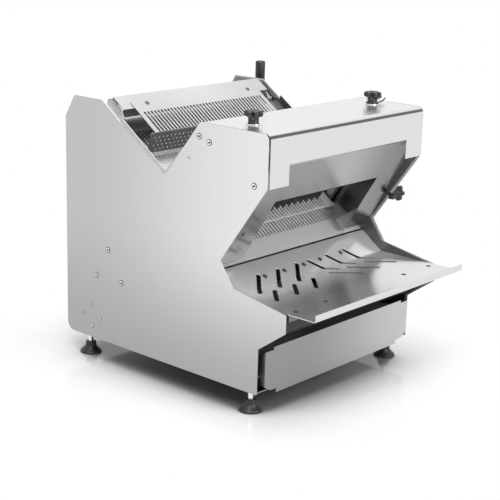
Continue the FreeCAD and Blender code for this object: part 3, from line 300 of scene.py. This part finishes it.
# Painted shade: the comb is darker towards the left.
COMB_STEEL = sheet_steel("comb_steel", (0.56, 0.56, 0.565), ALONG_Y, rough=(0.34, 0.46), contrast=0.02,
                         painted_fade_start=(0.42, 0.42, 0.425), fades=[(TO_RIGHT, -0.24, 0.05)])
DOT_STEEL = sheet_steel("dot_steel", (0.85, 0.85, 0.86), EVEN, rough=(0.55, 0.65), contrast=0.02)
# Painted shade: the blades are far darker than steel, for the shade in the slots between them.
BLADE_STEEL = sheet_steel("blade_steel", (0.16, 0.16, 0.165), UPRIGHT, rough=(0.12, 0.25))
FASTENER = sheet_steel("fastener_steel", (0.80, 0.80, 0.81), EVEN, rough=(0.1, 0.22), contrast=0.04)
# Painted shade: these screw heads are far darker than steel.
SHADED_FASTENER = sheet_steel("sunk_fastener_steel", (0.20, 0.20, 0.205), EVEN, rough=(0.2, 0.3),
                            contrast=0.04)
# Painted shade: the right inner frame and the tray brackets are far darker than steel.
SHADED_INNER_STEEL = sheet_steel("inner_frame_steel", (0.20, 0.20, 0.205), UPRIGHT, rough=(0.25, 0.35), contrast=0.03,
                         depth=0.25)
MACHINED = sheet_steel("machined_metal", (0.55, 0.55, 0.56), ALONG_Y, rough=(0.38, 0.5), contrast=0.03,
                       depth=0.2)
# Painted shade: the pusher face is much darker than steel.
PUSHER_STEEL = sheet_steel("pusher_steel", (0.29, 0.29, 0.295), ALONG_X, rough=(0.45, 0.55), contrast=0.03)
BLACK_PLASTIC = moulded("black_plastic", (0.006, 0.006, 0.007), rough=(0.25, 0.4))
FOOT_RUBBER = moulded("foot_rubber", (0.012, 0.012, 0.012), rough=(0.35, 0.5), grain=600.0)
BLACK_PAINT = moulded("black_paint", (0.008, 0.008, 0.008), rough=(0.4, 0.55))
# Painted shade for the gaps round screw heads and the bottoms of their crosses.
PAINTED_SHADE_BLACK = moulded("gap_shadow", (0.004, 0.004, 0.004), rough=(0.6, 0.7))
MOTOR_PAINT = moulded("motor_paint", (0.05, 0.06, 0.075), rough=(0.4, 0.55), grain=300.0)
BELT_RUBBER = moulded("belt_rubber", (0.015, 0.015, 0.015), rough=(0.6, 0.75), grain=400.0)
GREEN_PLASTIC = moulded("green_button", (0.01, 0.16, 0.04), rough=(0.2, 0.3))
RED_PLASTIC = moulded("red_button", (0.40, 0.01, 0.01), rough=(0.2, 0.3))

BY_SLOT = {
    "brushed_steel": PLAIN_STEEL, "dark_steel": PLAIN_STEEL, "satin_hood": HOOD_STEEL,
    "polished_sheet": COMB_STEEL, "blade_steel": BLADE_STEEL, "machined_metal": MACHINED,
    "bright_fastener": FASTENER, "black_plastic": BLACK_PLASTIC, "foot_rubber": FOOT_RUBBER,
    "black_paint": BLACK_PAINT, "motor_paint": MOTOR_PAINT, "belt_rubber": BELT_RUBBER,
    "green_button": GREEN_PLASTIC, "red_button": RED_PLASTIC}
BY_NODE = {
    "left_side_plate": SIDE_STEEL, "right_side_plate": SIDE_STEEL, "mouth_frame": MOUTH_STEEL,
    "chute_tray": TRAY_STEEL, "drawer_face": DRAWER_STEEL, "bread_table": TABLE_STEEL, "outlet_comb": INNER_STEEL,
    "slice_guide": INNER_STEEL, "outlet_deflectors": INNER_STEEL, "right_inner_frame": SHADED_INNER_STEEL,
    "tray_brackets": SHADED_INNER_STEEL, "pusher_face": PUSHER_STEEL}
RECORD = frame["record"]
SLOT_OF = {entry["node"]: entry["material_slot"] for entry in RECORD["subparts"]}
for name, item in NODES.items():
    material = BY_NODE.get(name, BY_SLOT[SLOT_OF[name]])
    item.data.materials.clear()
    item.data.materials.append(material)


# Shapes of the added pieces
SAME_POINT = 1e-6
KNOB_LOBES, LOBE_SHARPNESS = 6, 1.6


def closed_object(name, mesh, finish):
    """A finished piece at the origin, with merged points and outward faces."""
    grid = bmesh.new()
    grid.from_mesh(mesh)
    bmesh.ops.remove_doubles(grid, verts=grid.verts, dist=SAME_POINT)
    bmesh.ops.recalc_face_normals(grid, faces=grid.faces)
    grid.to_mesh(mesh)
    grid.free()
    mesh.materials.clear()
    mesh.materials.append(finish)
    item = bpy.data.objects.new(name, mesh)
    bpy.context.collection.objects.link(item)
    return item


def turned_shape(name, profile, steps=64):
    """A shape turned about Z from (radius, height, lobe depth) rows, closed at both ends."""
    shape = bmesh.new()
    rings = []
    for radius, height, depth in profile:
        ring = []
        for step in range(steps):
            angle = 2 * math.pi * step / steps
            wave = 0.5 - 0.5 * math.cos(KNOB_LOBES * angle)
            reach = radius - depth * wave ** LOBE_SHARPNESS
            ring.append(shape.verts.new((reach * math.cos(angle), reach * math.sin(angle), height)))
        rings.append(ring)
    for low, high in zip(rings, rings[1:]):
        for step in range(steps):
            after = (step + 1) % steps
            shape.faces.new((low[step], low[after], high[after], high[step]))
    shape.faces.new(rings[0][::-1])
    shape.faces.new(rings[-1])
    mesh = bpy.data.meshes.new(name)
    shape.to_mesh(mesh)
    shape.free()
    for face in mesh.polygons:
        face.use_smooth = len(face.vertices) == 4
    return mesh


def round_shape(name, rows, radius, tall):
    """A shape without lobes, from rows of its radius and height as shares of the whole."""
    return turned_shape(name, [(share * radius, rise * tall, 0.0) for share, rise in rows])


def stand(mesh, direction, place):
    """Turns a mesh drawn along +Z to a direction and moves it to its place."""
    turn = Vector(direction).to_track_quat("Z", "Y").to_matrix().to_4x4()
    mesh.transform(Matrix.Translation(Vector(place)) @ turn)
    return mesh


def middle(node):
    """The middle of a node's box."""
    low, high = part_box(node)
    return [(a + b) / 2 for a, b in zip(low, high)]


def islands(node):
    """Lowest and highest corners of each separate solid of a node, in order."""
    shape = bmesh.new()
    shape.from_mesh(NODES[node].data)
    bmesh.ops.remove_doubles(shape, verts=shape.verts, dist=SAME_POINT)
    waiting = set(shape.verts)
    found = []
    while waiting:
        queue = [waiting.pop()]
        seen = list(queue)
        while queue:
            for edge in queue.pop().link_edges:
                for vert in edge.verts:
                    if vert in waiting:
                        waiting.discard(vert)
                        queue.append(vert)
                        seen.append(vert)
        low = [min(vert.co[axis] for vert in seen) for axis in range(3)]
        high = [max(vert.co[axis] for vert in seen) for axis in range(3)]
        found.append((low, high))
    shape.free()
    return sorted(found)


def carry(piece, body, slot, *nodes):
    """Hands a piece to its body, in place of the named nodes."""
    if nodes:
        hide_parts(*nodes)
    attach(piece, body)


# Screws: heads, with painted shade in the gaps round them and in their crosses, set on seats by geometry nodes
HEAD_RADIUS, HEAD_HEIGHT, HEAD_RECESS = 0.0062, 0.0016, 0.4
HEAD_STEPS, HEAD_REACHES = 32, (0.12, 0.24, 0.36, 0.48, 0.62, 0.76, 0.9, 1.0)
DOME_DROP, DOME_POWER = 0.45, 4
CROSS_REACH, CROSS_HALF = 0.6, 0.24
FILL_REACH, FILL_HALF, FILL_TOP = 0.56, 0.22, 0.00135
GAP_RADIUS, GAP_HEIGHT = HEAD_RADIUS * 1.28, 0.0004
DOT_RADIUS, DOT_HEIGHT = 0.0018, 0.0009
HEAD_SPREAD = 1.22  # heads are drawn this much wider than the CAD discs, so that they read in the picture


def screw_head_mesh(name, radius, height, recess):
    """A domed head with a cross recess, as rings of a polar grid."""
    shape = bmesh.new()
    steps = HEAD_STEPS
    rows = []
    for reach in HEAD_REACHES:
        row = []
        for step in range(steps):
            angle = 2 * math.pi * step / steps
            x, y = reach * math.cos(angle), reach * math.sin(angle)
            arm = min(abs(x), abs(y)) < CROSS_HALF and max(abs(x), abs(y)) < CROSS_REACH
            rise = height * (1 - DOME_DROP * reach ** DOME_POWER) - (recess * height if arm else 0.0)
            row.append(shape.verts.new((x * radius, y * radius, rise)))
        rows.append(row)
    heart = shape.verts.new((0, 0, height * (1 - recess)))
    foot = [shape.verts.new((radius * math.cos(2 * math.pi * step / steps),
                             radius * math.sin(2 * math.pi * step / steps), 0)) for step in range(steps)]
    for step in range(steps):
        after = (step + 1) % steps
        shape.faces.new((heart, rows[0][step], rows[0][after]))
        for low, high in zip(rows, rows[1:]):
            shape.faces.new((low[step], high[step], high[after], low[after]))
        shape.faces.new((rows[-1][step], foot[step], foot[after], rows[-1][after]))
    shape.faces.new(foot[::-1])
    mesh = bpy.data.meshes.new(name)
    shape.to_mesh(mesh)
    shape.free()
    return mesh


def make_seating_tree():
    """Copies of a source piece on every seat point, turned one way, in one finish."""
    tree = bpy.data.node_groups.new("seated_copies", "GeometryNodeTree")
    tree.is_modifier = True
    for label, kind in (("Seats", "NodeSocketGeometry"), ("Piece", "NodeSocketObject"),
                        ("Facing", VECTOR), ("Size", FLOAT), ("Finish", "NodeSocketMaterial")):
        tree.interface.new_socket(label, in_out="INPUT", socket_type=kind)
    tree.interface.new_socket("Geometry", in_out="OUTPUT", socket_type="NodeSocketGeometry")
    given, put = tree.nodes.new("NodeGroupInput"), tree.nodes.new("NodeGroupOutput")
    source = add_node(tree, "GeometryNodeObjectInfo")
    turn = add_node(tree, "FunctionNodeAlignRotationToVector", axis="Z")
    copies = add_node(tree, "GeometryNodeInstanceOnPoints")
    real = add_node(tree, "GeometryNodeRealizeInstances")
    finish = add_node(tree, "GeometryNodeSetMaterial")
    join(tree, given.outputs["Piece"], source.inputs["Object"])
    join(tree, given.outputs["Facing"], turn.inputs["Vector"])
    join(tree, given.outputs["Seats"], copies.inputs["Points"])
    join(tree, source.outputs["Geometry"], copies.inputs["Instance"])
    join(tree, turn.outputs["Rotation"], copies.inputs["Rotation"])
    join(tree, given.outputs["Size"], copies.inputs["Scale"])
    join(tree, copies.outputs["Instances"], real.inputs["Geometry"])
    join(tree, real.outputs["Geometry"], finish.inputs["Geometry"])
    join(tree, given.outputs["Finish"], finish.inputs["Material"])
    join(tree, finish.outputs["Geometry"], put.inputs["Geometry"])
    return tree


SEATING = make_seating_tree()


def seated(name, seats, source, facing, size, finish):
    """Runs the seating tree on a set of points and keeps the result as a plain mesh."""
    mesh = bpy.data.meshes.new(name + "_seats")
    mesh.from_pydata([tuple(seat) for seat in seats], [], [])
    host = bpy.data.objects.new(name + "_seats", mesh)
    bpy.context.collection.objects.link(host)
    modifier = host.modifiers.new("seating", "NODES")
    modifier.node_group = SEATING
    wanted = {"Piece": source, "Facing": facing, "Size": size, "Finish": finish}
    for socket in SEATING.interface.items_tree:
        if socket.in_out == "INPUT" and socket.name in wanted:
            modifier[socket.identifier] = wanted[socket.name]
    bpy.context.view_layer.update()
    baked = bpy.data.meshes.new_from_object(host.evaluated_get(bpy.context.evaluated_depsgraph_get()))
    bpy.data.objects.remove(host)
    baked.name = name
    return closed_object(name, baked, finish)


def source_piece(mesh):
    """A shape that the seating tree copies, kept out of the scene."""
    return bpy.data.objects.new(mesh.name, mesh)


def cross_mesh(name, radius, top):
    """A cross that fills the bottom of a head's recess, as painted shade."""
    shape = bmesh.new()
    for wide, deep in ((FILL_REACH, FILL_HALF), (FILL_HALF, FILL_REACH)):
        bmesh.ops.create_cube(shape, size=1.0, matrix=Matrix.Translation((0, 0, top / 2)) @ Matrix.Diagonal(
            (2 * wide * radius, 2 * deep * radius, top, 1)))
    mesh = bpy.data.meshes.new(name)
    shape.to_mesh(mesh)
    shape.free()
    return mesh


HEAD = source_piece(screw_head_mesh("screw_head_source", HEAD_RADIUS, HEAD_HEIGHT, HEAD_RECESS))
GAP_ROWS = [(GAP_RADIUS, 0, 0), (GAP_RADIUS, GAP_HEIGHT, 0)]
GAP = source_piece(turned_shape("screw_gap_source", GAP_ROWS, HEAD_STEPS))
DOT = source_piece(screw_head_mesh("dot_source", DOT_RADIUS, DOT_HEIGHT, 0.0))
SLOT_CROSS = source_piece(cross_mesh("screw_cross_source", HEAD_RADIUS, FILL_TOP))


def screws(name, body, facing, seats, sizes, *nodes, metal=FASTENER):
    """Heads, with painted shade in their gaps and crosses, on seats that all face one way, in two sizes at most.
    """
    layers = (("heads", HEAD, metal, "bright_fastener", nodes), ("gaps", GAP, PAINTED_SHADE_BLACK, "black_plastic", ()),
              ("crosses", SLOT_CROSS, PAINTED_SHADE_BLACK, "black_plastic", ()))
    for label, source, finish, slot, replaced in layers:
        for number, size in enumerate(sorted(set(sizes))):
            chosen = [seat for seat, each in zip(seats, sizes) if each == size]
            piece = seated("%s_%s_%d" % (name, label, number), chosen, source, facing, size, finish)
            carry(piece, body, slot, *replaced)


def seats_of(node, axis, side):
    """Middle of each screw's seat on the named side, with the size of its head."""
    seats, sizes = [], []
    for low, high in islands(node):
        seat = [(a + b) / 2 for a, b in zip(low, high)]
        seat[axis] = low[axis] if side > 0 else high[axis]
        across = max(high[other] - low[other] for other in range(3) if other != axis)
        seats.append(seat)
        sizes.append(round(HEAD_SPREAD * across / (2 * GAP_RADIUS), 2))
    return seats, sizes


HOUSING = "housing"
for word, side in (("left", -1), ("right", 1)):
    node = "side_screws_" + word
    screws(node, HOUSING, (side, 0, 0), *seats_of(node, 0, side), node)
screws("tray_screws", HOUSING, (0, 0, 1), *seats_of("tray_screws", 2, 1), "tray_screws", metal=SHADED_FASTENER)


# Camera, fitted to the photograph
AZIMUTH, ELEVATION, ROLL = math.radians(-48.90), math.radians(15.62), math.radians(1.64)
TARGET, DISTANCE = Vector((-0.0240, 0.0415, 0.3010)), 3.387
LENS, SENSOR_WIDTH, VIEW_DEPTH = 91.6, 36.0, 50.0
back = Vector((math.sin(AZIMUTH) * math.cos(ELEVATION), -math.cos(AZIMUTH) * math.cos(ELEVATION),
               math.sin(ELEVATION)))
level = Vector((math.cos(AZIMUTH), math.sin(AZIMUTH), 0.0))
right = level * math.cos(ROLL) + back.cross(level) * math.sin(ROLL)
up = back.cross(right)
eye = TARGET + back * DISTANCE
camera_data = bpy.data.cameras.new("photo_camera")
camera_data.sensor_width = SENSOR_WIDTH
camera_data.lens = LENS
camera_data.clip_end = VIEW_DEPTH
camera = bpy.data.objects.new("photo_camera", camera_data)
camera.matrix_world = Matrix.Translation(eye) @ Matrix((right, up, back)).transposed().to_4x4()
bpy.context.collection.objects.link(camera)
bpy.context.scene.camera = camera


# Places read through the camera
PIXELS = 500
FOCAL = camera_data.lens / camera_data.sensor_width * PIXELS


def seen_at(node, across, down):
    """Point and normal of a node's surface under a place in the picture."""
    shape = bmesh.new()
    shape.from_mesh(NODES[node].data)
    tree = BVHTree.FromBMesh(shape)
    shape.free()
    half = PIXELS / 2
    ray = right * ((across - half) / FOCAL) - up * ((down - half) / FOCAL) - back
    spot, normal, _, _ = tree.ray_cast(eye, ray.normalized())
    return spot, normal


def screws_seen(name, node, body, size, places):
    """Screws on one flat face of a node, at places in the picture."""
    spots = [seen_at(node, *place) for place in places]
    facing = sum((normal for _, normal in spots), Vector()).normalized()
    screws(name, body, facing, [spot for spot, _ in spots], [size] * len(spots), metal=SHADED_FASTENER)


CHUTE_SCREWS = [(265, 276.2), (284.5, 270.5), (303.7, 264.5), (320, 259.2), (340.5, 252.5)]
MOUTH_SCREW = [(243, 234.5)]
STRIP_SCREWS = [(147.2, 102.9), (247.5, 88.9)]
CHUTE_SIZE, MOUTH_SIZE, STRIP_SIZE = 0.85, 0.75, 0.8
screws_seen("chute_screws", "chute_tray", HOUSING, CHUTE_SIZE, CHUTE_SCREWS)
screws_seen("mouth_screw_left", "mouth_frame", HOUSING, MOUTH_SIZE, MOUTH_SCREW)
screws_seen("strip_screws", "pusher_comb", "pusher", STRIP_SIZE, STRIP_SCREWS)


# Bright dots on the pusher face, in axes along and square to the slide
SLIDE = next(joint for joint in RECORD["behaviour"]["joints"] if joint["name"] == "pusher_slide")
DOWN_SLOPE = Vector(SLIDE["axis"]).normalized()
SQUARE_UP = Vector((0, DOWN_SLOPE.z, -DOWN_SLOPE.y))
DOT_ROWS, DOT_PITCH, DOT_STEP = 5, 0.0146, 0.0098
DOT_MARGIN, DOT_SHIFT = 0.0125, 0.25
EDGE_REACH = 1e-4


def edge_lead(points, height):
    """How far down the slope the face reaches along its edge at this height."""
    return max(point.dot(DOWN_SLOPE) for point in points if abs(point.dot(SQUARE_UP) - height) < EDGE_REACH)


def make_pusher_dots():
    """Rows of dots on the front side of the face, every second row shifted along."""
    points = [vert.co for vert in NODES["pusher_face"].data.vertices]
    heights = sorted({round(point.dot(SQUARE_UP), 5) for point in points})
    bottom, top = heights[0], heights[-1]
    bottom_lead, top_lead = edge_lead(points, bottom), edge_lead(points, top)
    face_middle = middle("pusher_face")[0]
    face_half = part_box("pusher_face")[1][0] - face_middle
    columns = int(2 * face_half / DOT_PITCH) - 1
    dots = []
    for row in range(DOT_ROWS):
        height = top - DOT_MARGIN - DOT_STEP * row
        lead = bottom_lead + (top_lead - bottom_lead) * (height - bottom) / (top - bottom)
        shift = DOT_SHIFT if row % 2 else -DOT_SHIFT
        for column in range(columns):
            x = face_middle + DOT_PITCH * (column - (columns - 1) / 2 + shift)
            dots.append(Vector((x, 0, 0)) + DOWN_SLOPE * lead + SQUARE_UP * height)
    lean = DOWN_SLOPE * (bottom_lead - top_lead) - SQUARE_UP * (top - bottom)
    facing = lean.cross(Vector((1, 0, 0))).normalized()
    if facing.dot(DOWN_SLOPE) < 0:
        facing = -facing
    carry(seated("pusher_dots", dots, DOT, facing, 1.0, DOT_STEEL), "pusher", "bright_fastener")


make_pusher_dots()


# Star knobs, from rows of radius, height and lobe depth as shares of the knob's size
KNOB_ROWS = [(0.0, 0.0, 0.0), (0.58, 0.0, 0.0), (0.60, 0.03, 0.0), (0.56, 0.08, 0.0), (0.56, 0.30, 0.0),
             (0.57, 0.46, 0.0), (0.70, 0.52, 0.10), (0.92, 0.56, 0.30), (0.98, 0.62, 0.36), (1.0, 0.74, 0.38),
             (1.0, 0.80, 0.38), (0.97, 0.90, 0.36), (0.88, 0.965, 0.28), (0.70, 1.0, 0.10), (0.40, 1.0, 0.0),
             (0.38, 0.97, 0.0), (0.0, 0.97, 0.0)]
KNOB_STEPS = 96
knob_low, knob_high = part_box("top_knob_left")
KNOB_RADIUS = (knob_high[1] - knob_low[1]) / 2
WASHER_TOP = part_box("knob_washers")[1][2]


def star_knob(name, node, body, direction, start, end):
    """A lobed knob between two points of its axis."""
    tall = (Vector(end) - Vector(start)).length
    profile = [(share * KNOB_RADIUS, height * tall, depth * KNOB_RADIUS) for share, height, depth in KNOB_ROWS]
    mesh = turned_shape(name, profile, KNOB_STEPS)
    carry(closed_object(name, stand(mesh, direction, start), BLACK_PLASTIC), body, "black_plastic", node)


def make_star_knobs():
    """Two knobs standing on their washers, and one on the right side plate."""
    for word in ("left", "right"):
        node = "top_knob_" + word
        x, y, _ = middle(node)
        knob_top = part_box(node)[1][2]
        star_knob("star_knob_" + word, node, word + "_knob", (0, 0, 1), (x, y, WASHER_TOP), (x, y, knob_top))
    _, y, z = middle("side_knob")
    plate_out, knob_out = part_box("right_side_plate")[1][0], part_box("side_knob")[1][0]
    star_knob("star_knob_side", "side_knob", "plate_knob", (1, 0, 0), (plate_out, y, z), (knob_out, y, z))


make_star_knobs()


# Feet and push grip, from rows of radius and height as shares of their size
FOOT_ROWS = [(0.0, 0.0), (0.96, 0.0), (1.0, 0.05), (1.0, 0.12), (0.96, 0.18), (0.86, 0.26), (0.72, 0.38),
             (0.60, 0.50), (0.53, 0.62), (0.50, 0.70), (0.50, 0.94), (0.46, 1.0), (0.30, 1.0), (0.0, 1.0)]
GRIP_ROWS = [(0.0, 0.0), (0.86, 0.0), (1.0, 0.02), (1.0, 0.955), (0.94, 0.985), (0.8, 1.0), (0.5, 1.0),
             (0.46, 0.992), (0.0, 0.992)]


def make_feet():
    """Flared rubber feet from the floor up to the top of their CAD pads."""
    for node in NODES:
        if node.startswith("foot_pad_"):
            low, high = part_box(node)
            x, y, _ = middle(node)
            name = node.replace("foot_pad", "rubber_foot")
            mesh = round_shape(name, FOOT_ROWS, (high[0] - low[0]) / 2, high[2])
            piece = closed_object(name, stand(mesh, (0, 0, 1), (x, y, 0)), FOOT_RUBBER)
            carry(piece, node.replace("foot_pad", "foot"), "foot_rubber", node)


def make_push_grip():
    """The black grip on the pusher's arm, with its rounded end."""
    low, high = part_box("handle_grip")
    x, y, _ = middle("handle_grip")
    mesh = round_shape("push_grip", GRIP_ROWS, (high[0] - low[0]) / 2, high[2] - low[2])
    piece = closed_object("push_grip", stand(mesh, (0, 0, 1), (x, y, low[2])), BLACK_PLASTIC)
    carry(piece, "pusher", "black_plastic", "handle_grip")


make_feet()
make_push_grip()


# Spring clip under the right top knob
def wire(name, points, radius, finish):
    """A round wire along a smooth open line."""
    curve = bpy.data.curves.new(name, "CURVE")
    curve.dimensions = "3D"
    curve.bevel_depth = radius
    curve.bevel_resolution = 3
    curve.use_fill_caps = True
    line = curve.splines.new("NURBS")
    line.points.add(len(points) - 1)
    for place, point in zip(line.points, points):
        place.co = (*point, 1.0)
    line.order_u = 3
    line.use_endpoint_u = True
    host = bpy.data.objects.new(name + "_line", curve)
    bpy.context.collection.objects.link(host)
    bpy.context.view_layer.update()
    mesh = bpy.data.meshes.new_from_object(host.evaluated_get(bpy.context.evaluated_depsgraph_get()))
    bpy.data.objects.remove(host)
    mesh.name = name
    for face in mesh.polygons:
        face.use_smooth = True
    return closed_object(name, mesh, finish)


WIRE_RADIUS, LOOP_RADIUS = 0.0019, 0.0155
LOOP_START, LOOP_TURN, LOOP_STEPS = 35, 290, 12  # in degrees, from the side that the wire's ends leave on
WIRE_ENTRY = [(0.046, 0.004, 0.012), (0.034, 0.011, 0.006)]  # from the knob's axis at the washer's top
WIRE_EXIT = [(0.034, -0.010, 0.004), (0.052, -0.003, 0.009)]


def make_knob_clip():
    """A wire looped round the knob's neck, whose two ends stick out to the right."""
    x, y, _ = middle("top_knob_right")
    loop = []
    for step in range(LOOP_STEPS + 1):
        angle = math.radians(LOOP_START + LOOP_TURN * step / LOOP_STEPS)
        loop.append((LOOP_RADIUS * math.cos(angle), LOOP_RADIUS * math.sin(angle), WIRE_RADIUS))
    points = [(x + out, y + aside, WASHER_TOP + rise) for out, aside, rise in WIRE_ENTRY + loop + WIRE_EXIT]
    carry(wire("knob_clip", points, WIRE_RADIUS, BLACK_PAINT), HOUSING, "black_paint")


make_knob_clip()


# Light and floor
def soft_box(name, place, aim, width, height, power):
    """A flat lamp in metres and watts."""
    lamp = bpy.data.lights.new(name, "AREA")
    lamp.shape = "RECTANGLE"
    lamp.size, lamp.size_y = width, height
    lamp.energy = power
    item = bpy.data.objects.new(name, lamp)
    item.location = place
    item.rotation_euler = (Vector(aim) - Vector(place)).to_track_quat("-Z", "Y").to_euler()
    bpy.context.collection.objects.link(item)


soft_box("high_left", place=(-1.7, -1.0, 2.6), aim=(0, 0, 0.4), width=1.4, height=1.4, power=45)
soft_box("overhead", place=(0.2, 0.3, 2.8), aim=(0, 0, 0.4), width=2.4, height=2.4, power=30)
soft_box("front", place=(0.0, -2.2, 1.35), aim=(0, -0.1, 0.4), width=0.9, height=0.7, power=22)
WHITE, SEEN_STRENGTH, LIT_STRENGTH = (1, 1, 1, 1), 1.0, 0.45


def light_switch(tree, seen, lit):
    """Uses one shader for camera, glossy and clear rays, and another for the light that falls on things."""
    path = add_node(tree, "ShaderNodeLightPath")
    either = add_node(tree, "ShaderNodeMath", operation="ADD")
    any_ray = add_node(tree, "ShaderNodeMath", operation="ADD", use_clamp=True)
    switch = add_node(tree, "ShaderNodeMixShader")
    join(tree, path.outputs["Is Camera Ray"], either.inputs[0])
    join(tree, path.outputs["Is Glossy Ray"], either.inputs[1])
    join(tree, either.outputs[0], any_ray.inputs[0])
    join(tree, path.outputs["Is Transmission Ray"], any_ray.inputs[1])
    join(tree, any_ray.outputs[0], switch.inputs[0])
    join(tree, lit, switch.inputs[1])
    join(tree, seen, switch.inputs[2])
    return switch.outputs[0]


def make_world():
    """A white world that lights things less than it shows."""
    world = bpy.data.worlds.new("studio")
    world.use_nodes = True
    bpy.context.scene.world = world
    tree = world.node_tree
    tree.nodes.clear()
    output = add_node(tree, "ShaderNodeOutputWorld")
    seen = add_node(tree, "ShaderNodeBackground", Color=WHITE, Strength=SEEN_STRENGTH)
    lit = add_node(tree, "ShaderNodeBackground", Color=WHITE, Strength=LIT_STRENGTH)
    join(tree, light_switch(tree, seen.outputs[0], lit.outputs[0]), output.inputs["Surface"])


make_world()


FLOOR_HALF, FLOOR_ROUGHNESS = 14.0, 0.1
SHADOW_REACH, COVER_REACH, COVER_EDGE, COVER_SAMPLES = 0.32, 0.22, (0.38, 0.60), 12
# Floor tones: the painted shadow where the machine stands close over it, and the open floor.
FLOOR_PAINTED_SHADOW, FLOOR_OPEN = (0.22, 0.22, 0.22), (0.9, 0.9, 0.9)
pan_low, pan_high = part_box("base_pan")
FOOTPRINT_MIDDLE = (*middle("base_pan")[:2], 0.0)
FOOTPRINT_HALF = ((pan_high[0] - pan_low[0]) / 2, (pan_high[1] - pan_low[1]) / 2, 0.0)


def painted_shadow_tone(tree):
    """The floor's colour with a painted shadow: darker where the machine stands close over it."""
    covered = add_node(tree, "ShaderNodeAmbientOcclusion", samples=COVER_SAMPLES, Distance=COVER_REACH)
    edge = add_node(tree, "ShaderNodeMapRange", interpolation_type="SMOOTHSTEP")
    edge.inputs["From Min"].default_value, edge.inputs["From Max"].default_value = COVER_EDGE
    join(tree, covered.outputs["AO"], edge.inputs["Value"])
    return blended(tree, edge.outputs[0], FLOOR_PAINTED_SHADOW, FLOOR_OPEN)


def away_from_footprint(tree):
    """A smooth rise from 0 at the edge of the machine's footprint to 1 at the shadow's reach."""
    place = add_node(tree, "ShaderNodeTexCoord")
    centred = add_node(tree, "ShaderNodeVectorMath", operation="SUBTRACT")
    centred.inputs[1].default_value = FOOTPRINT_MIDDLE
    size = add_node(tree, "ShaderNodeVectorMath", operation="ABSOLUTE")
    beyond = add_node(tree, "ShaderNodeVectorMath", operation="SUBTRACT")
    beyond.inputs[1].default_value = FOOTPRINT_HALF
    outside = add_node(tree, "ShaderNodeVectorMath", operation="MAXIMUM")
    away = add_node(tree, "ShaderNodeVectorMath", operation="LENGTH")
    fade = add_node(tree, "ShaderNodeMapRange", interpolation_type="SMOOTHSTEP")
    fade.inputs["From Min"].default_value = 0.0
    fade.inputs["From Max"].default_value = SHADOW_REACH
    join(tree, place.outputs["Object"], centred.inputs[0])
    join(tree, centred.outputs[0], size.inputs[0])
    join(tree, size.outputs[0], beyond.inputs[0])
    join(tree, beyond.outputs[0], outside.inputs[0])
    join(tree, outside.outputs[0], away.inputs[0])
    join(tree, away.outputs["Value"], fade.inputs["Value"])
    return fade.outputs[0]


def make_floor():
    """A white floor: it takes the lamps' shadows and a painted shadow near the machine, and fades to plain white
    away from it.
    """
    mesh = bpy.data.meshes.new("floor")
    reach = FLOOR_HALF
    mesh.from_pydata([(-reach, -reach, 0), (reach, -reach, 0), (reach, reach, 0), (-reach, reach, 0)], [],
                     [(0, 1, 2, 3)])
    item = bpy.data.objects.new("floor", mesh)
    bpy.context.collection.objects.link(item)
    material, tree, shader = new_material("white_floor")
    shader.inputs["Roughness"].default_value = FLOOR_ROUGHNESS
    join(tree, painted_shadow_tone(tree), shader.inputs["Base Color"])
    plain = add_node(tree, "ShaderNodeEmission", Color=WHITE, Strength=SEEN_STRENGTH)
    blend = add_node(tree, "ShaderNodeMixShader")
    join(tree, away_from_footprint(tree), blend.inputs[0])
    join(tree, shader.outputs[0], blend.inputs[1])
    join(tree, plain.outputs[0], blend.inputs[2])
    output = tree.nodes["Material Output"]
    join(tree, light_switch(tree, blend.outputs[0], shader.outputs[0]), output.inputs["Surface"])
    mesh.materials.append(material)


make_floor()

view = bpy.context.scene.view_settings
view.view_transform = "Standard"
